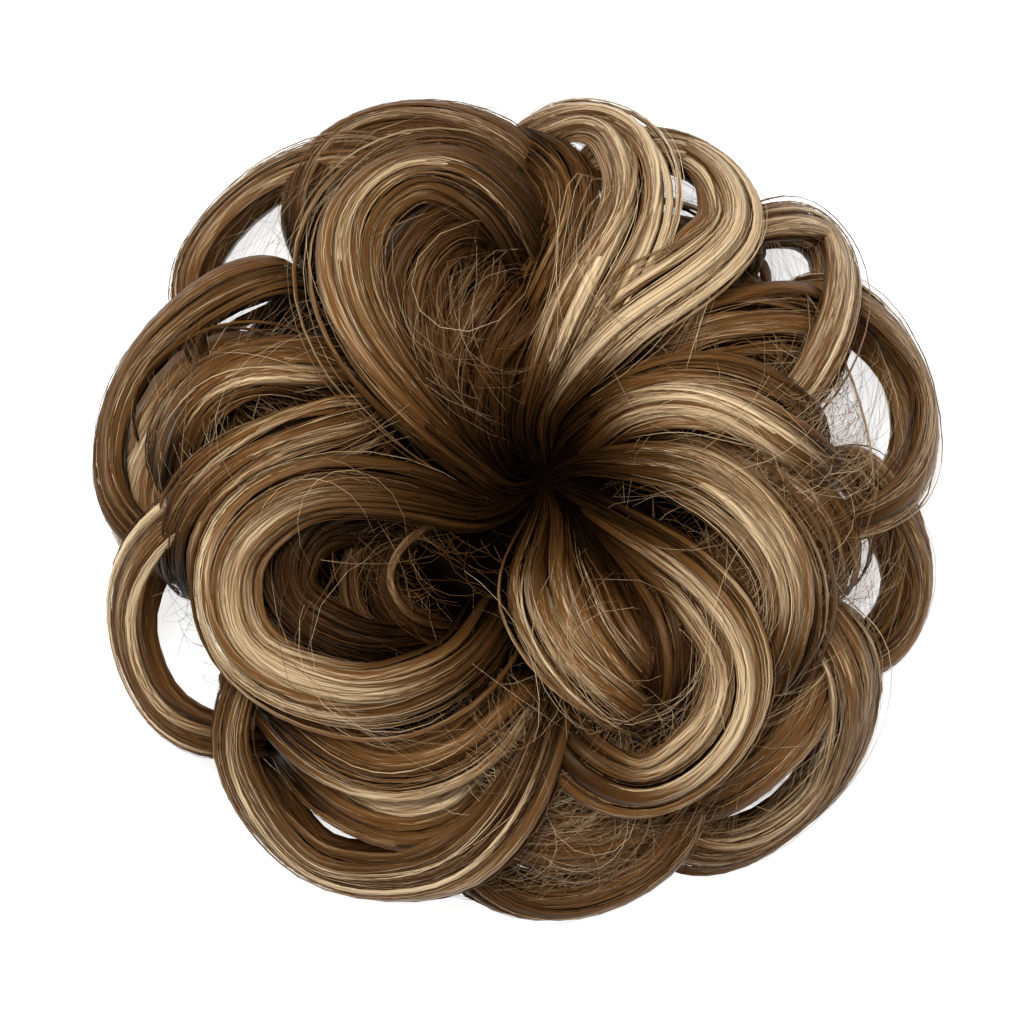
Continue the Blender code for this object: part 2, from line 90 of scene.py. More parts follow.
@dataclass(frozen=True)
class Lock:
    """A lock of hair.

    width is a share of the plain lock's width. Each station is a bearing about the eye in degrees,
    counter-clockwise from +X, a reach from the eye, 0, to the rim circle, 1, and a lift from the hem, 0,
    to the outer form, 1. fluff is how far its hairs spread over the plain width, and tail how much of the
    shading towards the tip its second half goes through.
    """

    name: str
    width: float
    tone: Tone
    stations: tuple[tuple[float, float, float], ...]
    fluff: float = 1.0
    tail: float = 1.0

    @property
    def half_width(self) -> float:
        """Half the width of its solid."""
        return LockShape.width * self.width / 2

    @property
    def half_depth(self) -> float:
        """Half the thickness of its solid, which thin locks have less of."""
        thin = min(LockShape.thin_lock + (1 - LockShape.thin_lock) * self.width, 1.0)
        return LockShape.thickness * thin / 2

    def shaded(self, share: np.ndarray) -> np.ndarray:
        """Shares of the shading's run at shares of the lock's length."""
        return np.clip(share - np.maximum(share - 0.5, 0) * (1 - self.tail), 0, 1)


# Locks, course by course

CROWN_LOCKS = (
    Lock("back_left_loop", 1.10, Tone.GOLD, (
        (205, 0.10, 0.75), (152, 0.36, 1.00), (139, 0.61, 1.02), (126, 0.78, 1.02), (111, 0.82, 1.00),
        (99, 0.70, 0.98), (91, 0.48, 0.75))),
    Lock("back_lock", 1.15, Tone.BLONDE, (
        (115, 0.16, 0.70), (80, 0.44, 0.98), (71, 0.72, 1.03), (76, 0.89, 1.00), (84, 0.935, 0.95),
        (93, 0.875, 0.80)), tail=0.45),
    Lock("back_right_lock", 0.90, Tone.BLONDE, (
        (92, 0.18, 0.75), (66, 0.44, 1.00), (54, 0.68, 1.04), (53, 0.83, 1.04), (61, 0.925, 1.00),
        (70, 0.93, 0.80)), tail=0.45),
    Lock("right_upper_curl", 0.90, Tone.BROWN, (
        (56, 0.16, 0.75), (43, 0.34, 0.98), (30, 0.51, 1.00), (17, 0.63, 0.98), (7, 0.70, 0.80))),
    Lock("right_thin_curl", 0.45, Tone.GOLD, (
        (36, 0.13, 0.85), (41, 0.29, 1.02), (28, 0.45, 1.04), (14, 0.58, 1.04), (1, 0.74, 0.95)),
        fluff=1.3),
    Lock("right_lock", 1.05, Tone.BLONDE, (
        (28, 0.12, 0.75), (3, 0.40, 1.00), (345, 0.61, 1.03), (331, 0.71, 1.02), (314, 0.74, 0.80))),
    Lock("front_right_loop", 0.95, Tone.GOLD, (
        (330, 0.15, 0.75), (326, 0.44, 0.98), (317, 0.64, 1.02), (304, 0.73, 1.02), (288, 0.74, 1.00),
        (276, 0.63, 0.95), (268, 0.48, 0.75))),
    Lock("front_curl", 0.60, Tone.BLONDE, (
        (262, 0.10, 0.75), (257, 0.22, 0.96), (268, 0.34, 1.00), (280, 0.46, 1.00), (293, 0.61, 0.88)),
        fluff=1.15),
    Lock("front_inner_curl", 0.60, Tone.BROWN, (
        (300, 0.08, 0.70), (280, 0.18, 0.88), (282, 0.29, 0.95), (287, 0.41, 0.95), (294, 0.55, 0.80)),
        fluff=1.3),
    Lock("left_loop", 1.10, Tone.GOLD, (
        (210, 0.16, 0.72), (184, 0.32, 0.98), (182, 0.54, 1.02), (193, 0.71, 1.02), (210, 0.75, 1.01),
        (230, 0.63, 1.01), (247, 0.46, 0.98), (258, 0.26, 0.72))),
)

INNER_LOCKS = (
    Lock("back_left_inner_loop", 0.85, Tone.GOLD, (
        (165, 0.17, 0.70), (140, 0.40, 0.86), (125, 0.59, 0.88), (110, 0.68, 0.88), (98, 0.62, 0.70)),
        fluff=1.45),
    Lock("back_left_core_curl", 0.85, Tone.GOLD, (
        (166, 0.12, 0.65), (133, 0.25, 0.82), (118, 0.36, 0.84), (104, 0.45, 0.84), (95, 0.54, 0.65)),
        fluff=1.45),
    Lock("front_right_inner_loop", 0.65, Tone.SHADE, (
        (322, 0.20, 0.70), (319, 0.34, 0.86), (312, 0.47, 0.90), (303, 0.57, 0.90), (294, 0.64, 0.75)),
        fluff=1.4),
    Lock("front_core_curl", 0.65, Tone.SHADE, (
        (312, 0.14, 0.60), (300, 0.26, 0.80), (297, 0.37, 0.88), (296, 0.47, 0.88), (298, 0.58, 0.72)),
        fluff=1.4),
    Lock("left_inner_loop", 0.75, Tone.DEEP, (
        (190, 0.30, 0.70), (189, 0.52, 0.86), (203, 0.62, 0.88), (221, 0.56, 0.86), (238, 0.46, 0.70)),
        fluff=1.3),
    Lock("left_core_curl", 0.60, Tone.SHADE, (
        (198, 0.32, 0.60), (207, 0.42, 0.72), (217, 0.45, 0.76), (230, 0.45, 0.76), (246, 0.40, 0.62)),
        fluff=1.35),
)

MIDDLE_LOCKS = (
    Lock("left_back_lock", 1.05, Tone.BROWN, (
        (152, 0.52, 0.72), (157, 0.68, 0.90), (163, 0.78, 0.95), (171, 0.83, 0.92), (180, 0.84, 0.72))),
    Lock("left_lock", 1.15, Tone.GOLD, (
        (160, 0.40, 0.74), (170, 0.55, 0.92), (178, 0.70, 0.95), (186, 0.80, 0.92), (195, 0.83, 0.74))),
    Lock("left_front_band", 1.00, Tone.BROWN, (
        (266, 0.46, 0.72), (254, 0.61, 0.88), (241, 0.72, 0.90), (227, 0.75, 0.88), (213, 0.76, 0.72))),
    Lock("front_left_band", 0.95, Tone.BROWN, (
        (267, 0.58, 0.68), (257, 0.75, 0.82), (246, 0.82, 0.84), (234, 0.82, 0.78), (223, 0.79, 0.62))),
    Lock("front_band", 0.90, Tone.SHADE, (
        (257, 0.66, 0.66), (264, 0.78, 0.80), (274, 0.82, 0.84), (284, 0.83, 0.80), (293, 0.82, 0.66))),
    Lock("front_right_band", 1.00, Tone.BROWN, (
        (333, 0.78, 0.70), (322, 0.83, 0.84), (311, 0.84, 0.86), (300, 0.82, 0.84), (289, 0.78, 0.68))),
    Lock("right_front_fill", 1.10, Tone.DEEP, (
        (340, 0.44, 0.72), (334, 0.56, 0.86), (325, 0.65, 0.88), (314, 0.70, 0.86), (303, 0.70, 0.70))),
    Lock("right_fill", 1.10, Tone.SHADE, (
        (12, 0.44, 0.74), (4, 0.58, 0.88), (356, 0.70, 0.90), (348, 0.77, 0.88), (340, 0.78, 0.70))),
    Lock("right_back_fill", 1.10, Tone.BROWN, (
        (54, 0.42, 0.74), (45, 0.55, 0.88), (37, 0.67, 0.90), (30, 0.78, 0.86), (22, 0.82, 0.70))),
    Lock("back_fill", 1.10, Tone.SHADE, (
        (94, 0.42, 0.74), (88, 0.56, 0.86), (84, 0.70, 0.88), (89, 0.81, 0.86), (98, 0.86, 0.70))),
)

FILL_LOCKS = (
    Lock("back_left_shade", 1.30, Tone.SHADE, (
        (128, 0.66, 0.62), (118, 0.76, 0.66), (108, 0.80, 0.66), (99, 0.79, 0.62), (91, 0.73, 0.56))),
    Lock("left_shade", 1.10, Tone.BROWN, (
        (158, 0.72, 0.60), (166, 0.81, 0.64), (175, 0.86, 0.66), (184, 0.885, 0.64), (192, 0.86, 0.56)),
        fluff=1.5),
    Lock("front_left_shade", 1.00, Tone.SHADE, (
        (256, 0.70, 0.56), (249, 0.77, 0.60), (242, 0.79, 0.60), (234, 0.78, 0.56), (226, 0.74, 0.50)),
        fluff=1.3),
    Lock("front_shade", 1.20, Tone.SHADE, (
        (268, 0.66, 0.60), (275, 0.75, 0.66), (283, 0.78, 0.66), (292, 0.76, 0.62), (299, 0.70, 0.54)),
        fluff=1.3),
    Lock("back_right_shade", 0.90, Tone.SHADE, (
        (72, 0.66, 0.60), (64, 0.72, 0.64), (56, 0.74, 0.64), (48, 0.73, 0.60), (40, 0.70, 0.54)),
        fluff=1.3),
)

RIM_LOCKS = (
    Lock("back_left_rim", 0.75, Tone.BROWN, (
        (92, 0.78, 0.78), (99, 0.875, 0.92), (109, 0.95, 0.96), (120, 0.975, 0.95), (130, 0.91, 0.84),
        (136, 0.81, 0.66))),
    Lock("left_back_rim", 0.55, Tone.BROWN, (
        (113, 0.86, 0.76), (124, 0.96, 0.92), (137, 0.99, 0.95), (149, 0.97, 0.94), (157, 0.89, 0.84),
        (162, 0.80, 0.66))),
    Lock("left_rim", 0.65, Tone.BROWN, (
        (142, 0.78, 0.84), (152, 0.88, 0.96), (165, 0.965, 0.97), (177, 0.98, 0.95), (186, 0.93, 0.88),
        (192, 0.83, 0.68))),
    Lock("left_front_rim", 0.65, Tone.BROWN, (
        (179, 0.68, 0.80), (187, 0.87, 0.94), (197, 0.975, 0.95), (209, 0.995, 0.95), (218, 0.94, 0.88),
        (224, 0.83, 0.68))),
    Lock("front_left_rim", 0.90, Tone.GOLD, (
        (211, 0.74, 0.78), (221, 0.90, 0.95), (239, 0.98, 0.96), (255, 0.89, 1.00), (265, 0.72, 1.02),
        (272, 0.52, 0.88))),
    Lock("front_rim", 0.62, Tone.BROWN, (
        (296, 0.80, 0.76), (289, 0.91, 0.90), (276, 0.965, 0.92), (265, 0.945, 0.92), (257, 0.87, 0.82),
        (252, 0.79, 0.66))),
    Lock("front_right_rim", 0.88, Tone.BLONDE, (
        (335, 0.77, 0.88), (327, 0.91, 0.99), (313, 0.995, 0.97), (300, 0.985, 0.95), (291, 0.915, 0.86),
        (286, 0.81, 0.68))),
    Lock("right_front_rim", 0.68, Tone.BROWN, (
        (4, 0.80, 0.76), (355, 0.90, 0.90), (345, 0.98, 0.92), (335, 0.965, 0.92), (329, 0.89, 0.84),
        (326, 0.80, 0.66))),
    Lock("right_rim", 0.70, Tone.GOLD, (
        (36, 0.87, 0.78), (26, 0.97, 0.92), (14, 1.015, 0.95), (2, 0.965, 0.96), (354, 0.85, 0.94),
        (349, 0.70, 0.84))),
    Lock("right_back_rim", 0.72, Tone.GOLD, (
        (54, 0.79, 0.82), (48, 0.925, 0.95), (41, 0.995, 0.97), (32, 0.92, 1.00), (22, 0.76, 0.98),
        (12, 0.58, 0.88), (9, 0.46, 0.74))),
    Lock("back_right_rim", 0.55, Tone.BROWN, (
        (83, 0.81, 0.76), (75, 0.90, 0.90), (66, 0.945, 0.92), (57, 0.92, 0.90), (50, 0.84, 0.80),
        (46, 0.76, 0.64))),
)


# Form of the hairpiece, and what its locks are sewn on


@dataclass(frozen=True)
class SwirlForm:
    """Outer form of the hairpiece: a funnel round the eye, a summit and a rounded rim."""

    radius: float = 0.0735
    height: float = 0.0610
    rim_height: float = 0.0190
    eye_height: float = 0.0300
    eye_x: float = 0.0054
    eye_y: float = 0.0046
    hem: float = 0.0030
    summit_reach: float = 0.43
    eye_round: float = 1.5
    eye_lean: float = 55.0
    rim_lean: float = 72.0
    top_lift: float = 1.04

    @property
    def eye(self) -> np.ndarray:
        """Point on the base under the eye."""
        return np.array((self.eye_x, self.eye_y, 0.0))

    @property
    def summit(self) -> float:
        """Height of the form at its summit."""
        return self.hem + (self.height - LockShape.thickness / 2 - self.hem) / self.top_lift

    def eye_to_rim(self, bearing: np.ndarray) -> np.ndarray:
        """Distance from the eye to the rim circle along bearings in radians."""
        along = self.eye_x * np.cos(bearing) + self.eye_y * np.sin(bearing)
        return -along + np.sqrt(along**2 + self.radius**2 - self.eye_x**2 - self.eye_y**2)

    def seen_from_eye(self, points: np.ndarray) -> tuple[np.ndarray, np.ndarray]:
        """Bearings in radians and reaches of points.

        Args:
            points: The points, with x and y on their last axis.

        Returns:
            Bearings and reaches.
        """
        offset = points[..., :2] - self.eye[:2]
        bearing = np.arctan2(offset[..., 1], offset[..., 0])
        return bearing, np.linalg.norm(offset, axis=-1) / self.eye_to_rim(bearing)

    def zones(self, reach: np.ndarray) -> tuple[np.ndarray, np.ndarray]:
        """How far reaches lie inside the summit, to 1 at the eye, and outside it, to 1 at the rim."""
        inner = 1 - np.clip(reach / self.summit_reach, 0, 1)
        return inner, np.clip((reach - self.summit_reach) / (1 - self.summit_reach), 0, 1)

    def height_at(self, reach: np.ndarray, lift: float | np.ndarray = 1.0) -> np.ndarray:
        """Height of the form at a reach, or at a lift under it.

        Args:
            reach: Shares of the distance from the eye to the rim circle.
            lift: Shares of the height from the hem to the form.

        Returns:
            The heights.
        """
        inner, outer = self.zones(reach)
        funnel = self.eye_height + (self.summit - self.eye_height) * (1 - inner**2) ** self.eye_round
        dome = self.rim_height + (self.summit - self.rim_height) * np.sqrt(1 - outer**2)
        return self.hem + lift * (np.where(reach < self.summit_reach, funnel, dome) - self.hem)

    def place(self, bearing: np.ndarray, reach: np.ndarray, lift: np.ndarray) -> np.ndarray:
        """Points of stations.

        Args:
            bearing: Bearings about the eye, in degrees.
            reach: Shares of the distance from the eye to the rim circle.
            lift: Shares of the height from the hem to the form.

        Returns:
            The points, one a row.
        """
        turn = np.radians(np.asarray(bearing, dtype=float))
        distance = reach * self.eye_to_rim(turn)
        return np.stack((self.eye_x + distance * np.cos(turn), self.eye_y + distance * np.sin(turn),
                         self.height_at(np.asarray(reach, dtype=float), lift)), -1)

    def facing(self, points: np.ndarray) -> np.ndarray:
        """Way that the form faces at points: to the eye inside the summit and outward at the rim.

        Args:
            points: The points, with x and y on their last axis.

        Returns:
            The ways, as unit vectors.
        """
        bearing, reach = self.seen_from_eye(points)
        inner, outer = self.zones(reach)
        lean = np.radians(self.rim_lean) * np.arcsin(outer) * 2 / math.pi - np.radians(self.eye_lean) * inner
        return np.stack((np.cos(bearing) * np.sin(lean), np.sin(bearing) * np.sin(lean), np.cos(lean)), -1)


FORM = SwirlForm()


@dataclass(frozen=True)
class SewnRing:
    """A ring of packed hair that carries a course, with the (radius, height) points of its section."""

    outer: float
    bottom: float
    top: float
    outline: tuple[tuple[float, float], ...]

    def seat(self, point: np.ndarray) -> np.ndarray:
        """Point inside the ring's outer edge where a lock that ends near a point is sewn in."""
        share = (self.outer - LockShape.seat_depth) / math.hypot(point[0], point[1])
        return np.array((point[0] * share, point[1] * share, (self.bottom + self.top) / 2))


UNDER_RING = SewnRing(0.0570, 0.0015, 0.0085, (
    (0.0310, 0.0085), (0.0310, 0.0022), (0.0330, 0.0015), (0.0540, 0.0015), (0.0565, 0.0035),
    (0.0570, 0.0060), (0.0560, 0.0085)))
RIM_RING = SewnRing(0.0520, 0.0089, 0.0169, (
    (0.0250, 0.0169), (0.0250, 0.0089), (0.0515, 0.0089), (0.0520, 0.0130), (0.0510, 0.0169)))
MIDDLE_RING = SewnRing(0.0465, 0.0173, 0.0263, (
    (0.0250, 0.0263), (0.0250, 0.0173), (0.0465, 0.0173), (0.0465, 0.0310), (0.0450, 0.0345),
    (0.0410, 0.0400), (0.0405, 0.0263)))


class CrownRoll:
    """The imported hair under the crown, round the eye's hollow."""

    radius = 0.0330
    bottom = 0.0267
    fill = 0.66
    shoulder = 4
    edge_height = 0.0030
    sections = 12
    crowding = 0.8           # of its sections towards its edge

    @classmethod
    def top(cls, radius: float) -> float:
        """Height of its upper side at a distance from the eye.

        Args:
            radius: The distance.

        Returns:
            The height.
        """
        edge = math.sqrt(max(1 - (radius / cls.radius) ** cls.shoulder, 0.0))
        form = float(FORM.height_at(np.array(radius / FORM.radius)))
        return cls.bottom + cls.fill * (form - cls.bottom) * edge

    @classmethod
    def seat(cls, point: np.ndarray) -> np.ndarray:
        """Point inside it where a lock that starts near a point is sewn in.

        Args:
            point: Where the lock starts.

        Returns:
            The point inside.
        """
        offset = point[:2] - FORM.eye[:2]
        radius = min(float(np.linalg.norm(offset)), cls.radius - LockShape.seat_depth)
        turn = math.atan2(offset[1], offset[0])
        height = max(cls.top(radius) - LockShape.seat_depth, cls.bottom + LockShape.seat_depth)
        return np.array((FORM.eye_x + radius * math.cos(turn), FORM.eye_y + radius * math.sin(turn), height))

    @classmethod
    def over(cls, point: np.ndarray, rise: float) -> np.ndarray:
        """The point, or one right above it that is clear of the roll by a rise."""
        radius = min(float(np.linalg.norm(point[:2] - FORM.eye[:2])), cls.radius)
        return np.array((point[0], point[1], max(point[2], cls.top(radius) + rise)))

    @classmethod
    def outline(cls) -> list[tuple[float, float]]:
        """(radius, height) from the middle of its top, out, and back to the middle of its underside.

        Returns:
            The outline.
        """
        radii = [cls.radius * (index / cls.sections) ** cls.crowding for index in range(cls.sections + 1)]
        top = [(radius, max(cls.top(radius), cls.bottom + cls.edge_height)) for radius in radii]
        return [*top, (cls.radius, cls.bottom), (0.0, cls.bottom)]


# Lines of the locks


@dataclass
class LockPath:
    """A lock's line, evenly sampled, with the way across it and the way that it faces at each sample."""

    evenness = 0.8            # how much of a share's spacing follows the length and not the bends
    softness = 0.0045         # length over which its bends are evened out
    fine_steps = 16           # from one station to the next
    blur_reach = 3            # of the evening out, in softnesses

    points: np.ndarray
    across: np.ndarray
    facing: np.ndarray
    length: float
    bends: np.ndarray
    curving: np.ndarray       # towards the way across, 1 over the bend's radius

    @classmethod
    def through(cls, stations: np.ndarray, samples: int = LockShape.samples) -> "LockPath":
        """A smooth path through points.

        Args:
            stations: The points, one a row.
            samples: How many points the path gets.

        Returns:
            The path, its frames carried from its middle to both ends.
        """
        ends = np.vstack((2 * stations[0] - stations[1], stations, 2 * stations[-1] - stations[-2]))
        t = np.linspace(0, 1, cls.fine_steps, endpoint=False)[:, None]
        fine = []
        for a, b, c, d in zip(ends, ends[1:], ends[2:], ends[3:]):
            fine.append(0.5 * (2 * b + (c - a) * t + (2 * a - 5 * b + 4 * c - d) * t**2
                               + (3 * b - a - 3 * c + d) * t**3))
        line = np.vstack((*fine, stations[-1]))
        run = np.concatenate(((0,), np.cumsum(np.linalg.norm(np.diff(line, axis=0), axis=1))))
        wanted = np.linspace(0, run[-1], samples)
        points = np.stack([np.interp(wanted, run, line[:, axis]) for axis in range(3)], 1)
        points = cls.evened(points, max(1, round(cls.blur_reach * cls.softness / run[-1] * samples)))
        tangents = np.gradient(points, axis=0)
        tangents /= np.linalg.norm(tangents, axis=1, keepdims=True)
        facing = cls.carried(tangents, FORM.facing(points))
        turning = np.arccos(np.clip(np.sum(tangents[1:] * tangents[:-1], axis=1), -1, 1))
        bends = np.concatenate(((0,), np.cumsum(turning / turning.sum() + cls.evenness / (samples - 1))))
        across = np.cross(tangents, facing)
        curving = np.sum(np.gradient(tangents, axis=0) * across, axis=1) / (run[-1] / (samples - 1))
        return cls(points, across, facing, float(run[-1]), bends / bends[-1], curving)

    @classmethod
    def evened(cls, points: np.ndarray, reach: int) -> np.ndarray:
        """Points of a line whose bends are evened out over a reach of samples, its ends kept.

        Args:
            points: The points, one a row.
            reach: Samples on each side that a point is weighed with.

        Returns:
            The points.
        """
        weights = np.exp(-0.5 * (np.arange(-reach, reach + 1) / (reach / cls.blur_reach)) ** 2)
        before, after = 2 * points[0] - points[reach:0:-1], 2 * points[-1] - points[-2:-reach - 2:-1]
        longer = np.vstack((before, points, after))
        weights /= weights.sum()
        return np.stack([np.convolve(longer[:, axis], weights, "valid") for axis in range(3)], 1)

    @staticmethod
    def carried(tangents: np.ndarray, normals: np.ndarray) -> np.ndarray:
        """Ways that a line faces, square to it, carried from its middle to both ends.

        Args:
            tangents: The line's way at each sample.
            normals: The ways that the form faces there.

        Returns:
            The ways, one a row.
        """
        facing = np.empty_like(normals)
        middle = len(normals) // 2
        for indices in (range(middle, len(normals)), range(middle, -1, -1)):
            carried = normals[middle]
            for index in indices:
                tangent = tangents[index]
                square = normals[index] - tangent * (normals[index] @ tangent)
                carried = carried - tangent * (carried @ tangent)
                trust = min(float(np.linalg.norm(square)), 1.0) ** 2
                carried = carried / np.linalg.norm(carried) * (1 - trust) + square * trust
                carried = carried / np.linalg.norm(carried)
                facing[index] = carried
        return facing

    def spaced(self, count: int) -> np.ndarray:
        """Shares of the length that lie closer together where the line bends."""
        return np.interp(np.linspace(0, 1, count), self.bends, np.linspace(0, 1, len(self.bends)))

    def at(self, share: np.ndarray) -> tuple[np.ndarray, np.ndarray, np.ndarray]:
        """Points, ways across and facings at shares of the length.

        Args:
            share: The shares.

        Returns:
            Points, ways across and facings.
        """
        place = np.clip(share, 0, 1) * (len(self.points) - 1)
        low = np.minimum(place.astype(int), len(self.points) - 2)
        blend = (place - low)[..., None]
        return tuple(values[low] * (1 - blend) + values[low + 1] * blend
                     for values in (self.points, self.across, self.facing))

    def curving_at(self, share: np.ndarray) -> np.ndarray:
        """Curving at shares of the length."""
        return np.interp(share, np.linspace(0, 1, len(self.curving)), self.curving)


def fullness(share: np.ndarray, run: float = LockShape.taper_run) -> np.ndarray:
    """0 at a lock's two ends and 1 from a run inside them."""
    return np.sin(np.clip(np.minimum(share, 1 - share) / run, 0, 1) * math.pi / 2)


# Objects


def new_object(name: str, data: bpy.types.ID) -> bpy.types.Object:
    """Object of a mesh, a lamp or a camera, in the scene.

    Args:
        name: Its name.
        data: The mesh, lamp or camera.

    Returns:
        The object.
    """
    thing = bpy.data.objects.new(name, data)
    bpy.context.scene.collection.objects.link(thing)
    return thing


def new_mesh_object(name: str, mesh: bmesh.types.BMesh) -> bpy.types.Object:
    """Object of a bmesh, which is freed.

    Args:
        name: Its name.
        mesh: The bmesh.

    Returns:
        The object.
    """
    data = bpy.data.meshes.new(name)
    mesh.to_mesh(data)
    mesh.free()
    return new_object(name, data)


def spun(mesh: bmesh.types.BMesh, steps: int) -> None:
    """Spins all of a mesh's outline once round the vertical axis and faces it outwards.

    Args:
        mesh: The outline.
        steps: Sections round the axis.
    """
    bmesh.ops.spin(mesh, geom=[*mesh.verts, *mesh.edges], cent=(0, 0, 0), axis=(0, 0, 1), dvec=(0, 0, 0),
                   angle=math.tau, steps=steps, use_merge=True)
    bmesh.ops.remove_doubles(mesh, verts=mesh.verts, dist=MERGE)
    bmesh.ops.recalc_face_normals(mesh, faces=mesh.faces)
    for face in mesh.faces:
        face.smooth = True


def dress(thing: bpy.types.Object, material: bpy.types.Material, slot: str, *nodes: str) -> None:
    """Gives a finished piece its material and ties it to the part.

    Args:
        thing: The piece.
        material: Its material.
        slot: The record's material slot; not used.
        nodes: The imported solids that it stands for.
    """
    thing.data.materials.append(material)
    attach(thing, "root")
    if nodes:
        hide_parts(*nodes)
    triangles = sum(len(face.vertices) - 2 for face in thing.data.polygons)
    LOG.info("%s: %d triangles", thing.name, triangles)


# Finishes


class NodeBoard:
    """Adds and feeds nodes of a material or a node group."""

    MIX_SOCKETS = (0, 6, 7)       # factor and the two colours of a Mix node
    BUMP_STRENGTH = 0.5

    def __init__(self, tree: bpy.types.NodeTree) -> None:
        """Takes the tree that the nodes go into."""
        self.tree = tree

    def feed(self, socket: bpy.types.NodeSocket, given: object) -> None:
        """Links another socket to an input, or sets the input.

        Args:
            socket: The input.
            given: The other socket, or a number or a colour.
        """
        if isinstance(given, bpy.types.NodeSocket):
            self.tree.links.new(given, socket)
        else:
            socket.default_value = given

    def fill(self, node: bpy.types.Node, feeds: dict[str, object]) -> None:
        """Feeds inputs of a node by their names."""
        for name, given in feeds.items():
            self.feed(node.inputs[name], given)

    def add(self, kind: str, feeds: dict[str, object] | None = None, **settings: object) -> bpy.types.Node:
        """A new node.

        Args:
            kind: Its type.
            feeds: What its inputs are fed, by their names.
            settings: Its properties.

        Returns:
            The node.
        """
        node = self.tree.nodes.new(kind)
        for name, value in settings.items():
            setattr(node, name, value)
        self.fill(node, feeds or {})
        return node

    def math(self, operation: str, first: object, second: object) -> bpy.types.NodeSocket:
        """Result of a Math node.

        Args:
            operation: What it does.
            first: A socket or a number.
            second: A socket or a number.

        Returns:
            The result.
        """
        node = self.add("ShaderNodeMath", operation=operation)
        self.feed(node.inputs[0], first)
        self.feed(node.inputs[1], second)
        return node.outputs[0]

    def scaled(self, base: object, change: object, weight: object) -> bpy.types.NodeSocket:
        """The base and a weighted change."""
        return self.math("ADD", base, self.math("MULTIPLY", change, weight))

    def span(self, value: bpy.types.NodeSocket, low: object, high: object, start: object = 0.0,
             end: object = 1.0) -> bpy.types.NodeSocket:
        """Result of a smooth Map Range node.

        Args:
            value: What it maps.
            low: Value that becomes the start.
            high: Value that becomes the end.
            start: Result at and below low.
            end: Result at and above high.

        Returns:
            The result.
        """
        feeds = {"Value": value, "From Min": low, "From Max": high, "To Min": start, "To Max": end}
        return self.add("ShaderNodeMapRange", feeds, interpolation_type="SMOOTHSTEP").outputs["Result"]

    def mix(self, share: object, first: object, second: object, blend: str = "MIX") -> bpy.types.NodeSocket:
        """Colour of a Mix node.

        Args:
            share: How much of the second colour there is.
            first: The first colour.
            second: The second colour.
            blend: How the second is laid over the first.

        Returns:
            The colour.
        """
        node = self.add("ShaderNodeMix", data_type="RGBA", blend_type=blend)
        for index, given in zip(self.MIX_SOCKETS, (share, first, second)):
            self.feed(node.inputs[index], given)
        return node.outputs[2]

    def noise(self, x: object, y: object, detail: float, roughness: float) -> bpy.types.NodeSocket:
        """Value of a flat noise.

        Args:
            x: Place along it.
            y: Place across it.
            detail: Its octaves.
            roughness: How strong its fine octaves are.

        Returns:
            The value.
        """
        place = self.add("ShaderNodeCombineXYZ", {"X": x, "Y": y}).outputs[0]
        feeds = {"Vector": place, "Scale": 1.0, "Detail": detail, "Roughness": roughness}
        return self.add("ShaderNodeTexNoise", feeds, noise_dimensions="2D").outputs["Fac"]

    def bump(self, height: bpy.types.NodeSocket, relief: float) -> bpy.types.NodeSocket:
        """Normal of a surface with a relief in metres."""
        feeds = {"Height": height, "Strength": self.BUMP_STRENGTH, "Distance": relief}
        return self.add("ShaderNodeBump", feeds).outputs["Normal"]


def new_material(name: str) -> tuple[bpy.types.Material, NodeBoard, bpy.types.Node]:
    """A material, the board of its nodes and its shader.

    Args:
        name: Its name.

    Returns:
        The material, a board for its nodes and its shader.
    """
    material = bpy.data.materials.new(name)
    material.use_nodes = True
    return material, NodeBoard(material.node_tree), material.node_tree.nodes["Principled BSDF"]


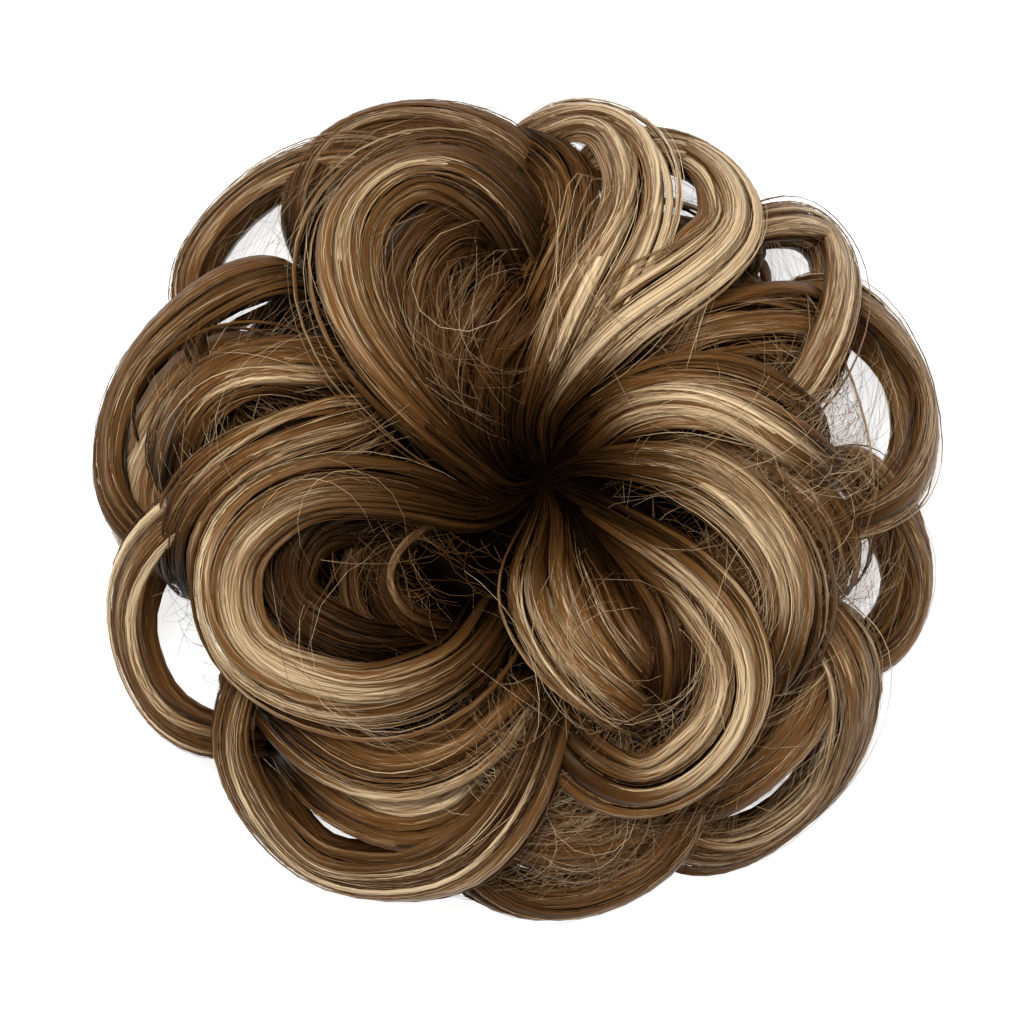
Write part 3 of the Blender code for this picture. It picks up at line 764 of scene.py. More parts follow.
class HairShade:
    """Node group that colours a hair by its tone, with painted shade at its root and tip and a painted
    highlight midway.
    """

    name = "hair_shade"
    colours = ("Dark", "Middle", "Light")
    numbers = ("Root Shade", "Root Run", "Tip Shade", "Tip Start", "Streak", "Bleach", "Stray")
    fibres = 420.0           # how often the tone's streaks change over its whole range
    changes = 4.0            # and along a lock
    fibre_noise = (3.0, 0.65)     # its detail and roughness
    fibre_edges = (0.28, 0.72)    # values of the noise that are the darkest and the palest fibre
    gloss_edges = (0.30, 0.70)    # and the glossiest and the dullest
    strays = 190.0           # how often hairs that cross the others lie over its whole range
    slants = (17.0, -12.0)   # how far they cross, in their own spacing, over a lock's length
    stray_changes = 3.0
    stray_noise = (1.0, 0.5)
    stray_width = 0.13
    crest = (0.15, 0.5, 0.9)      # start, middle and end of the run with the painted highlight
    root_start = 0.02
    tip_end = 0.93
    shaded_tone = 0.45            # of a hair's tone where it is shaded most
    middle_tones = (0.02, 0.50)   # from the dark to the middle colour
    light_tones = (0.46, 0.90)    # from the middle to the light colour
    roughness = (0.28, 0.42)

    @classmethod
    def crossing(cls, board: NodeBoard, tone: bpy.types.NodeSocket, share: bpy.types.NodeSocket, slant: float
                 ) -> bpy.types.NodeSocket:
        """Mask of the fine hairs that cross a wisp.

        Args:
            board: The group's nodes.
            tone: Tone of the wisp.
            share: Share of its lock's length.
            slant: How far they cross.

        Returns:
            The mask.
        """
        across = board.scaled(board.math("MULTIPLY", tone, cls.strays), share, slant)
        wave = board.noise(across, board.math("MULTIPLY", share, cls.stray_changes), *cls.stray_noise)
        off = board.math("ABSOLUTE", board.math("SUBTRACT", wave, 0.5), 0.0)
        return board.span(off, 0.0, cls.stray_width, 1.0, 0.0)

    @classmethod
    def group(cls) -> bpy.types.NodeTree:
        """The group, built once.

        Returns:
            Its node tree.
        """
        if cls.name in bpy.data.node_groups:
            return bpy.data.node_groups[cls.name]
        tree = bpy.data.node_groups.new(cls.name, "ShaderNodeTree")
        for in_out, kind, labels in (
            ("INPUT", "NodeSocketColor", cls.colours), ("INPUT", "NodeSocketFloat", cls.numbers),
            ("OUTPUT", "NodeSocketColor", ("Color",)), ("OUTPUT", "NodeSocketFloat", ("Roughness", "Height")),
        ):
            for label in labels:
                tree.interface.new_socket(name=label, in_out=in_out, socket_type=kind)
        board = NodeBoard(tree)
        given = board.add("NodeGroupInput").outputs
        hair_map = board.add("ShaderNodeUVMap", uv_map=HAIR_MAP).outputs["UV"]
        place = board.add("ShaderNodeSeparateXYZ", {"Vector": hair_map}).outputs
        tone, share = place["X"], place["Y"]
        across, along = board.math("MULTIPLY", tone, cls.fibres), board.math("MULTIPLY", share, cls.changes)
        fibre = board.noise(across, along, *cls.fibre_noise)
        # painted highlight: paler over the middle of the lock's length, where its crest is
        start, middle, end = cls.crest
        rise, fall = board.span(share, start, middle), board.span(share, middle, end, 1.0, 0.0)
        lit = board.scaled(tone, board.span(fibre, *cls.fibre_edges, -0.5, 0.5), given["Streak"])
        lit = board.scaled(lit, board.math("MULTIPLY", rise, fall), given["Bleach"])
        for slant in cls.slants:
            lit = board.scaled(lit, cls.crossing(board, tone, share, slant), given["Stray"])
        # painted shade: darker towards the root and the tip
        root = board.span(share, cls.root_start, given["Root Run"], given["Root Shade"])
        tip = board.span(share, given["Tip Start"], cls.tip_end, 1.0, given["Tip Shade"])
        shade = board.math("MULTIPLY", root, tip)
        lit = board.math("MULTIPLY", lit, board.span(shade, 0.0, 1.0, cls.shaded_tone))
        colour = board.mix(board.span(lit, *cls.middle_tones), given["Dark"], given["Middle"])
        colour = board.mix(board.span(lit, *cls.light_tones), colour, given["Light"])
        board.add("NodeGroupOutput", {"Color": board.mix(1.0, colour, shade, "MULTIPLY"), "Height": fibre,
                                      "Roughness": board.span(fibre, *cls.gloss_edges, *cls.roughness)})
        return tree


@dataclass(frozen=True)
class HairFinish:
    """Finish of hairs or of packed hair: the colours of its darkest, middle and palest tone, its painted shade
    and painted highlight, and its gloss.
    """

    name: str
    dark: tuple[float, float, float] = (0.012, 0.0043, 0.0012)
    middle: tuple[float, float, float] = (0.168, 0.072, 0.0195)
    light: tuple[float, float, float] = (0.90, 0.68, 0.41)
    root_shade: float = 0.20
    root_run: float = 0.43
    tip_start: float = 0.54
    tip_shade: float = 0.12
    streak: float = 0.22
    # painted highlight over the middle of each lock's length
    bleach: float = 0.20
    stray: float = 0.09
    specular: float = 0.12
    sheen_tint: tuple[float, float, float] = (1.0, 0.80, 0.54)
    relief: float = 0.00012

    def material(self) -> bpy.types.Material:
        """The material, built once.

        Returns:
            The material.
        """
        if self.name in bpy.data.materials:
            return bpy.data.materials[self.name]
        material, board, shader = new_material(self.name)
        feeds = {label: (*getattr(self, label.lower()), 1) for label in HairShade.colours}
        feeds |= {label: getattr(self, label.lower().replace(" ", "_")) for label in HairShade.numbers}
        shade = board.add("ShaderNodeGroup", feeds, node_tree=HairShade.group()).outputs
        board.fill(shader, {"Base Color": shade["Color"], "Roughness": shade["Roughness"],
                            "Specular IOR Level": self.specular, "Specular Tint": (*self.sheen_tint, 1),
                            "Normal": board.bump(shade["Height"], self.relief)})
        return material


def packed_hair(name: str) -> HairFinish:
    """Finish of hair that is packed in the shade of the locks, nearly black as painted shade.

    Args:
        name: Its name.

    Returns:
        The finish.
    """
    return HairFinish(name, dark=(0.002, 0.001, 0.0005), middle=(0.022, 0.010, 0.0040),
                      light=(0.08, 0.04, 0.017), streak=0.3, bleach=0.0, stray=0.0, specular=0.02,
                      relief=0.0003)


# Hairs


@dataclass
class TubeField:
    """Thin closed tubes gathered for one piece, such as hairs: rings of sides along lines of points."""

    hair_depth = 0.4              # of a hair, over its width
    hair_streak = 0.004           # of the tone's range, round a hair
    hair_start = (0.08, 0.50)     # share of its length that it widens over, and its first width
    hair_end = (0.20, 0.22)
    tone_range = (0.03, 0.97)

    sides: int
    turned: float = 0.0           # of its first side, in sides
    smooth: bool = True
    corners: list[np.ndarray] = field(default_factory=list)
    maps: list[np.ndarray] = field(default_factory=list)

    @classmethod
    def for_hairs(cls) -> "TubeField":
        """A field of the plainest tubes, for fine hairs."""
        return cls(sides=3, turned=0.75, smooth=False)

    def add(self, lines: np.ndarray, side: np.ndarray, rise: np.ndarray, wide: np.ndarray, deep: np.ndarray,
            tones: np.ndarray, streaks: float | np.ndarray, shares: np.ndarray) -> None:
        """Adds tubes.

        Args:
            lines: Their points, as (tubes, sections, 3).
            side: The way across each, of the same shape.
            rise: The way up from each, of the same shape.
            wide: Half-widths, as (tubes, sections).
            deep: Half-depths, as (tubes, sections).
            tones: Each tube's tone.
            streaks: How much of the tone's range its map takes up around it.
            shares: How far along its lock each section is, as (tubes, sections).
        """
        turn = (np.arange(self.sides)[:, None] + self.turned) / self.sides * math.tau
        out = side[:, :, None] * np.cos(turn) * wide[:, :, None, None]
        up = rise[:, :, None] * np.sin(turn) * deep[:, :, None, None]
        self.corners.append(lines[:, :, None] + out + up)
        wave = np.abs(2 * np.arange(self.sides + 1) / self.sides - 1) - 0.5
        u = np.clip(tones, *self.tone_range)[:, None, None] + streaks * wave + 0 * shares[:, :, None]
        self.maps.append(np.stack((u, shares[:, :, None] + 0 * u), -1))

    def add_hairs(self, lines: np.ndarray, radii: np.ndarray, tones: np.ndarray, shares: np.ndarray,
                  rise: np.ndarray) -> None:
        """Adds flat hairs with fine tips.

        Args:
            lines: Their points, as (hairs, sections, 3).
            radii: Each hair's half-width.
            tones: Each hair's tone.
            shares: How far along its lock each section is, as (hairs, sections).
            rise: The way up from each, of the shape of lines.
        """
        along = np.linspace(0, 1, lines.shape[1])
        (first_run, first_width), (last_run, last_width) = self.hair_start, self.hair_end
        taper = np.minimum(along / first_run + first_width, (1 - along) / last_run + last_width)
        tangents = np.gradient(lines, axis=1)
        tangents /= np.linalg.norm(tangents, axis=2, keepdims=True) + TINY
        side = np.cross(tangents, rise)
        side /= np.linalg.norm(side, axis=2, keepdims=True) + TINY
        radius = radii[:, None] * np.clip(taper, 0, 1)
        self.add(lines, side, np.cross(side, tangents), radius, radius * self.hair_depth, tones,
                 self.hair_streak, shares)

    def build(self, name: str) -> bpy.types.Object:
        """One object of all the tubes, with their map.

        Args:
            name: Its name.

        Returns:
            The object.
        """
        places, loops, totals, layers, used = [], [], [], [], 0
        sides = self.sides
        here, after = np.arange(sides), (np.arange(sides) + 1) % sides
        for corners, layer in zip(self.corners, self.maps):
            count, sections = corners.shape[:2]
            places.append(corners.reshape(-1, 3))
            start = used + (np.arange(count) * sections * sides)[:, None]
            first = start[:, :, None] + (np.arange(sections - 1) * sides)[:, None]
            quads = np.stack((first + here, first + here + sides, first + after + sides, first + after), -1)
            caps = np.stack((start + here, start + (sections - 1) * sides + here[::-1]), 1)
            loops.extend((quads.ravel(), caps.ravel()))
            totals.extend((np.full(quads.size // 4, 4), np.full(count * 2, sides)))
            lower, upper = layer[:, :-1], layer[:, 1:]
            walls = np.stack((lower[:, :, :-1], upper[:, :, :-1], upper[:, :, 1:], lower[:, :, 1:]), 3)
            ends = np.stack((layer[:, 0, :-1], layer[:, -1, :-1][:, ::-1]), 1)
            layers.extend((walls.reshape(-1, 2), ends.reshape(-1, 2)))
            used += count * sections * sides
        places, loops, totals, layers = map(np.concatenate, (places, loops, totals, layers))
        data = bpy.data.meshes.new(name)
        data.vertices.add(len(places))
        data.vertices.foreach_set("co", places.astype(np.float32).ravel())
        data.loops.add(len(loops))
        data.loops.foreach_set("vertex_index", loops.astype(np.int32))
        data.polygons.add(len(totals))
        data.polygons.foreach_set("loop_start", (np.cumsum(totals) - totals).astype(np.int32))
        data.polygons.foreach_set("use_smooth", np.full(len(totals), self.smooth))
        data.uv_layers.new(name=HAIR_MAP).uv.foreach_set("vector", layers.astype(np.float32).ravel())
        data.update(calc_edges=True)
        return new_object(name, data)


class Draws:
    """Columns of random values, one for each of some wisps or hairs."""

    def __init__(self, rng: np.random.Generator, count: int) -> None:
        """Takes the source of chance and how many values a column has."""
        self.rng, self.size = rng, (count, 1)

    def normal(self, spread: float, middle: float = 0.0) -> np.ndarray:
        """Values round a middle."""
        return self.rng.normal(middle, spread, self.size)

    def uniform(self, low: float, high: float) -> np.ndarray:
        """Values between two limits."""
        return self.rng.uniform(low, high, self.size)

    def chance(self, share: float) -> np.ndarray:
        """True for about a share of them."""
        return self.rng.random(self.size) < share

    def some(self, share: float, given: float) -> np.ndarray:
        """A given value for about a share of them and 0 for the rest."""
        return np.where(self.chance(share), given, 0)


@dataclass(frozen=True)
class Combing:
    """How a lock's hairs lie: in flat wisps that overlap on its skin, with fine hairs and strays over them.

    Lengths are in metres. Reaches, sways and slips are shares of the lock's half-width.
    """

    wisps: float = 13.0           # on a lock of the plain width
    hairs: float = 98.0           # on a lock of the plain width
    fan_wisps: float = 0.45       # share of further wisps, which fan out to the inner side of its bends
    fan_hairs: float = 0.28
    fan_reach: float = 1.30
    fan_shade: float = 0.09
    twist: float = 0.85           # of the skin round the lock's line
    sway: float = 0.25
    slip_share: float = 0.34      # wisps that leave the lock towards its end
    slip: float = 0.75
    stagger: float = 0.15         # of the wisps' ends, as a share of the lock's length
    hair_stagger: float = 0.06
    loose_share: float = 0.18     # thin wisps that bow out of the lock
    loose: float = 0.55
    loose_lift: float = 0.0008
    loose_size: float = 0.35
    wisp_size: float = 0.98       # half-width, over the room that each wisp has on the skin
    flatness: float = 0.21
    fibre: float = 0.00030        # width of the broadest streaks on a wisp
    spread: float = 1.10          # of the skin past the solid's form
    strand: float = 0.0040        # width of the strands that the skin gathers into
    strand_depth: float = 0.21
    # painted shade in the grooves between strands and painted light on their tops
    strand_tone: float = 0.17
    side_shade: float = 0.10
    hair_radius: float = 0.000080
    hair_rise: float = 0.05
    cross: float = 0.45           # how far hairs wander round the skin
    wander: float = 0.00016
    stray_share: float = 0.20     # hairs that wander farther along the skin
    stray_wander: float = 0.0013
    fly_share: float = 0.09       # short hairs whose tip leaves the skin
    fly_wander: float = 0.0026
    tone_swing: float = 0.035     # over the width of a lock
    tone_spread: float = 0.04
    hair_tone_spread: float = 0.07
    pale_hairs: float = 0.12      # share of the hairs that are paler than the rest
    pale_hair: float = 0.16
    pale_share: float = 0.14      # and of the wisps
    pale: float = 0.11
    dark_share: float = 0.20
    dark: float = 0.14
    bleach_shift: float = 0.05    # of a wisp's painted shade and painted highlight along the lock
    wisp_sides: int = 6
    sections_per_metre: float = 165.0


@dataclass
class SkinPlace:
    """Places on a lock's skin: points, the ways along the skin and out of it, and the tones of hair there."""

    points: np.ndarray
    side: np.ndarray
    rise: np.ndarray
    tones: np.ndarray


class LockSkin:
    """Outer hairs of one lock."""

    run_shares = (0.0, 0.10, 0.34, 0.68, 0.90, 1.0)   # of its length
    run_widths = (0.30, 0.56, 1.0, 1.0, 0.58, 0.22)   # and how wide it is there, over its full width
    end_depth = 0.65              # how deep it would be where it had no width
    strand_turn = 2.0             # how far its strands wind round it, in radians
    side_edge = 3                 # how sharply its sides are shaded
    swings = 2.2                  # of its tone, in radians over its half-width
    bend_full = 25.0              # curving at which hairs fan out nearly fully, 1 over a radius
    fan_start = 0.25              # least shift of hairs that fan out
    fan_round = 0.6               # how soon they do, from 1 as a sine down to 0 at once
    least_sections = 10
    least_wisps = 4
    covered = (-16, 196)          # degrees round its line that the wisps cover
    wisp_turn = 0.45              # how unevenly they lie, in their own spacing
    fan_turn = 0.3                # how far those that fan out lie from its underside, in radians
    wisp_reach = (0.89, 1.03)     # from its line to the skin
    fan_wisp_reach = (0.0, 0.9)
    sway_run = 4.4                # of a wisp's wave along the lock, in radians
    slip_run = 3                  # power of the share of the length that a slip follows
    lift_sizes = (0.2, 1.0)
    wisp_sizes = (0.45, 1.45)
    wisp_end = (0.25, 0.27)       # width at its ends, and how soon it has its full width
    fan_tones = 0.04
    fly_starts = (0.08, 0.74)     # share of the length where a fly-away hair starts
    fly_runs = (0.12, 0.26)       # and how much of it that takes up
    fly_curl = 1.7                # power of the share of its own length that it leaves the skin by
    fly_tone = 0.15
    fly_size = 0.45
    stray_fans = 0.5              # share of the hairs that fan out that stray too
    wander_round = 0.7
    wander_waves = (2.0, 8.0)     # of a hair along the lock, in radians
    wander_rise = 0.6             # out of the skin, over the wander along it
    hair_shade = -0.02
    hair_sizes = (0.75, 1.35)

    def __init__(self, lock: Lock, path: LockPath, combing: Combing, rng: np.random.Generator) -> None:
        """Takes a lock.

        Args:
            lock: The lock.
            path: Its line.
            combing: How its hairs lie.
            rng: Source of chance.
        """
        self.lock, self.path, self.combing, self.rng = lock, path, combing, rng
        self.half_width = lock.half_width * lock.fluff
        self.half_depth = lock.half_depth
        self.twist = rng.uniform(-1, 1) * combing.twist
        self.strand_phase, self.swing_phase = rng.uniform(0, math.tau, 2)
        self.winding = rng.uniform(-self.strand_turn, self.strand_turn)

    def place(self, turn: np.ndarray, reach: np.ndarray, share: np.ndarray, sideways: np.ndarray
              ) -> SkinPlace:
        """Places on the skin.

        Args:
            turn: Angles round the lock's line from the way across it.
            reach: Shares of the way from the line to the skin.
            share: Shares of the lock's length.
            sideways: Shifts across, as shares of the half-width.

        Returns:
            The places, of the shape of share.
        """
        combing = self.combing
        points, across, facing = self.path.at(share)
        run = np.interp(share, self.run_shares, self.run_widths)
        turn = turn + self.twist * (2 * share - 1)
        cosine, sine = np.cos(turn), np.sin(turn)
        strand = np.cos(math.tau * cosine * self.half_width / combing.strand + self.strand_phase
                        + self.winding * share)
        reach = reach * (1 + combing.strand_depth * strand) * combing.spread
        out = (reach * cosine + sideways) * self.half_width * run
        out = out / (1 + np.maximum(self.path.curving_at(share) * out, 0))
        up = reach * sine * self.half_depth * (self.end_depth + (1 - self.end_depth) * run)
        along = np.stack((self.half_width * sine, -self.half_depth * cosine), -1)
        along /= np.linalg.norm(along, axis=-1, keepdims=True)
        side = across * along[..., :1] + facing * along[..., 1:]
        rise = facing * along[..., :1] - across * along[..., 1:]
        # painted shade and light: darker in the grooves between strands and at the lock's sides, paler on the
        # strands' tops
        tones = (self.lock.tone.value + combing.strand_tone * strand
                 - combing.side_shade * np.abs(cosine) ** self.side_edge
                 + combing.tone_swing * np.sin(self.swings * cosine + self.swing_phase))
        return SkinPlace(points + across * out[..., None] + facing * up[..., None], side, rise, tones)

    def fan(self, draws: Draws, share: np.ndarray, fans: np.ndarray) -> np.ndarray:
        """Shifts across of wisps or hairs that fan out to the inner side of bends.

        Args:
            draws: Source of chance.
            share: Shares of the lock's length.
            fans: Which of them fan out.

        Returns:
            The shifts, 0 for those that don't.
        """
        out = draws.uniform(self.fan_start, self.combing.fan_reach) * fans
        inward = np.tanh(self.path.curving_at(share) / self.bend_full)
        return out * inward * np.sin(share * math.pi) ** self.fan_round

    def stations(self, draws: Draws, stagger: float) -> np.ndarray:
        """Shares of the length at which each of some wisps or hairs has its sections.

        Args:
            draws: Source of chance.
            stagger: How far their ends lie apart, as a share of the length.

        Returns:
            The shares, a row for each.
        """
        sections = self.least_sections + round(self.path.length * self.combing.sections_per_metre)
        start = draws.uniform(0, stagger / 2)
        return start + (1 - draws.uniform(0, stagger) - start) * self.path.spaced(sections)

    def lay(self, tubes: TubeField) -> None:
        """Adds the wisps to a field of tubes.

        Args:
            tubes: The field.
        """
        combing = self.combing
        outer = max(self.least_wisps, round(combing.wisps * self.lock.width))
        fanned = round(outer * combing.fan_wisps)
        count = outer + fanned
        draws, draws_outer, draws_fanned = (Draws(self.rng, size) for size in (count, outer, fanned))
        fans = np.arange(count)[:, None] >= outer
        share = self.stations(draws, combing.stagger)
        arch = np.sin(share * math.pi)
        first, last = np.radians(self.covered)
        even = np.linspace(first, last, outer)[:, None]
        turn = np.vstack((even + draws_outer.normal(self.wisp_turn / outer),
                          draws_fanned.normal(self.fan_turn, -math.pi / 2)))
        reach = np.vstack((draws_outer.uniform(*self.wisp_reach), draws_fanned.uniform(*self.fan_wisp_reach)))
        loose = draws.chance(combing.loose_share) & ~fans
        slips = draws.chance(combing.slip_share)
        sideways = (self.fan(draws, share, fans)
                    + draws.normal(combing.sway) * np.sin(share * self.sway_run + draws.uniform(0, math.tau))
                    + np.where(slips, draws.normal(combing.slip), 0) * share**self.slip_run
                    + np.where(loose, draws.normal(combing.loose), 0) * arch)
        place = self.place(turn, reach, share, sideways)
        lift = np.where(loose, draws.uniform(*self.lift_sizes), 0) * combing.loose_lift * arch
        radius = np.hypot(self.half_width * np.sin(turn), self.half_depth * np.cos(turn))
        size = combing.wisp_size * (last - first) / outer * radius * draws.uniform(*self.wisp_sizes)
        size = size * np.where(loose, combing.loose_size, 1)
        end_width, end_run = self.wisp_end
        wide = size * (end_width + (1 - end_width) * fullness(share, end_run))
        tones = place.tones.mean(axis=1, keepdims=True) + draws.normal(combing.tone_spread)
        tones += draws.some(combing.pale_share, combing.pale)
        tones -= draws.some(combing.dark_share, combing.dark)
        tones = np.where(fans, self.lock.tone.value - combing.fan_shade + draws.normal(self.fan_tones), tones)
        streaks = 2 * size / combing.fibre / HairShade.fibres
        shaded = self.lock.shaded(share + draws.normal(combing.bleach_shift))
        tubes.add(place.points + place.rise * lift[..., None], place.side, place.rise, wide,
                  wide * combing.flatness, tones[:, 0], streaks[:, :, None], shaded)

    def comb(self, tubes: TubeField) -> None:
        """Adds the fine hairs to a field of tubes.

        Args:
            tubes: The field.
        """
        combing = self.combing
        draws = Draws(self.rng, round(combing.hairs * self.lock.width))
        share = self.stations(draws, combing.hair_stagger)
        along = (share - share[:, :1]) / (share[:, -1:] - share[:, :1])
        flies = draws.chance(combing.fly_share)
        fly_share = draws.uniform(*self.fly_starts) + draws.uniform(*self.fly_runs) * along
        share = np.where(flies, fly_share, share)
        fans = ~flies & draws.chance(combing.fan_hairs)
        turn = np.arccos(draws.uniform(-1, 1)) + draws.normal(combing.cross) * (share - draws.uniform(0, 1))
        turn = np.where(fans, turn - math.pi / 2, turn)
        reach = np.where(fans, draws.uniform(0, 1), 1 + combing.hair_rise * draws.uniform(0, 1))
        stray = draws.chance(combing.stray_share) | (fans & draws.chance(self.stray_fans))
        wander = np.where(stray, combing.stray_wander, combing.wander)
        wander = wander * np.sin(share * math.pi) ** self.wander_round
        along_skin, out_of_skin = (
            np.where(flies, combing.fly_wander * draws.normal(1) * along**self.fly_curl,
                     wander * np.sin(share * draws.uniform(*self.wander_waves) + draws.uniform(0, math.tau)))
            for _ in range(2))
        place = self.place(turn, reach, share, self.fan(draws, share, fans))
        lines = (place.points + place.side * along_skin[..., None]
                 + place.rise * self.wander_rise * np.abs(out_of_skin)[..., None])
        tones = place.tones.mean(axis=1, keepdims=True)
        tones += draws.normal(combing.hair_tone_spread, self.hair_shade)
        tones += draws.some(combing.pale_hairs, combing.pale_hair) + self.fly_tone * flies
        shaded = self.lock.shaded(share + draws.normal(combing.bleach_shift))
        radii = combing.hair_radius * draws.uniform(*self.hair_sizes) * np.where(flies, self.fly_size, 1)
        tubes.add_hairs(lines, radii[:, 0], tones[:, 0], shaded, place.rise)


# Courses of locks


@dataclass
class Course:
    """Locks of one height and the hair that they are sewn on.

    groups holds the names of locks by the name of their piece of fine hairs, or nothing where one piece has
    them all. nodes are the solids that its pieces stand for.
    """

    core_share = 0.66             # of a lock's solid that its packed inside fills
    core_sides = 10
    core_cuts = 19
    core_tones = (0.02, 0.45)     # start and width of its map
    tuck_turn = 0.45
    tuck_drop = 0.34
    tuck_draw = 0.05
    eye_draw = 0.30
    root_rise = 0.0016

    name: str
    slot: str
    locks: tuple[Lock, ...]
    sewing: Sewing
    combing: Combing
    finish: HairFinish
    packed: HairFinish
    ring: SewnRing | None = None
    groups: dict[str, tuple[str, ...]] = field(default_factory=dict)
    nodes: tuple[str, ...] = ()
    has_base: bool = True

    def stations(self, lock: Lock, tucked: bool) -> np.ndarray:
        """Points that a lock's line goes through.

        Args:
            lock: The lock.
            tucked: Whether the line goes on to where its hairs are tucked in.

        Returns:
            The points, one a row.
        """
        points = list(FORM.place(*np.array(lock.stations).T))
        if self.sewing is Sewing.ROLL:
            if tucked:
                start = FORM.eye + (points[0] - FORM.eye) * self.eye_draw
                points[0] = CrownRoll.over(points[0], self.root_rise)
                points.insert(0, CrownRoll.over(start, self.root_rise / 2))
            else:
                points[0] = CrownRoll.seat(points[0])
        else:
            points.insert(0, self.ring.seat(points[0]))
        if self.sewing is Sewing.BOTH:
            points.append(self.ring.seat(points[-1]))
        elif tucked:
            (bearing, reach, lift), before = lock.stations[-1], lock.stations[-2]
            bearing += ((bearing - before[0] + 180) % 360 - 180) * self.tuck_turn
            points.append(FORM.place(bearing, reach - self.tuck_draw, lift - self.tuck_drop))
        return np.array(points)

    def core(self, lock: Lock, mesh: bmesh.types.BMesh, layer: bmesh.types.BMLayerItem) -> None:
        """Adds a lock's packed inside, a grid rolled into a closed tube along its line.

        Args:
            lock: The lock.
            mesh: Mesh that it goes into.
            layer: The mesh's map.
        """
        path = LockPath.through(self.stations(lock, False))
        verts = bmesh.ops.create_grid(
            mesh, x_segments=self.core_sides, y_segments=self.core_cuts, size=0.5)["verts"]
        faces = {face for vert in verts for face in vert.link_faces}
        first_tone, tones = self.core_tones
        for face in faces:
            face.smooth = True
            for loop in face.loops:
                loop[layer].uv = (first_tone + (loop.vert.co.x + 0.5) * tones, loop.vert.co.y + 0.5)
        turn = np.array([vert.co.x for vert in verts]) * math.tau
        share = np.array([vert.co.y for vert in verts]) + 0.5
        points, across, facing = path.at(share)
        full = fullness(share)
        half_width = lock.half_width * (LockShape.end_taper + (1 - LockShape.end_taper) * full)
        half_depth = lock.half_depth * (LockShape.end_depth + (1 - LockShape.end_depth) * full)
        places = (points + across * (np.cos(turn) * half_width * self.core_share)[:, None]
                  + facing * (np.sin(turn) * half_depth * self.core_share)[:, None])
        for vert, place in zip(verts, places):
            vert.co = Vector(place)
        bmesh.ops.remove_doubles(mesh, verts=verts, dist=MERGE)
        edges = {edge for face in faces if face.is_valid for edge in face.edges}
        bmesh.ops.edgeloop_fill(mesh, edges=[edge for edge in edges if edge.is_boundary])

    def build_cores(self) -> bpy.types.Object:
        """One object of all the locks' insides.

        Returns:
            The object.
        """
        mesh = bmesh.new()
        layer = mesh.loops.layers.uv.new(HAIR_MAP)
        for lock in self.locks:
            self.core(lock, mesh, layer)
        bmesh.ops.recalc_face_normals(mesh, faces=mesh.faces)
        return new_mesh_object(self.name + "_packed_hair", mesh)

    def build_hairs(self, rng: np.random.Generator) -> Iterable[bpy.types.Object]:
        """An object of fine hairs for each group of locks, and the wisps in one object.

        Args:
            rng: Source of chance.

        Yields:
            The objects.
        """
        wisps = TubeField(self.combing.wisp_sides)
        all_locks = {self.name + "_hairs": tuple(lock.name for lock in self.locks)}
        for name, members in (self.groups or all_locks).items():
            hairs = TubeField.for_hairs()
            for lock in self.locks:
                if lock.name in members:
                    path = LockPath.through(self.stations(lock, True))
                    skin = LockSkin(lock, path, self.combing, rng)
                    skin.lay(wisps)
                    skin.comb(hairs)
            yield hairs.build(name)
        yield wisps.build(self.name + "_wisps")

    def build_base(self) -> bpy.types.Object:
        """The ring or the roll that its locks are sewn on.

        Returns:
            The object.
        """
        if self.ring is None:
            return PackedBase("crown_roll", CrownRoll.outline(), FORM.eye, steps=96, closed=False,
                              strands=24).build()
        return PackedBase(self.name + "_sewn_ring", self.ring.outline, np.zeros(3), steps=128, closed=True,
                          strands=40, lumps=0.0004).build()

    def build(self, rng: np.random.Generator) -> None:
        """Builds and dresses all its pieces.

        Args:
            rng: Source of chance.
        """
        dress(self.build_cores(), self.packed.material(), self.slot, *self.nodes)
        for piece in self.build_hairs(rng):
            dress(piece, self.finish.material(), self.slot, *self.nodes)
        if self.has_base:
            dress(self.build_base(), self.packed.material(), self.slot, *self.nodes)


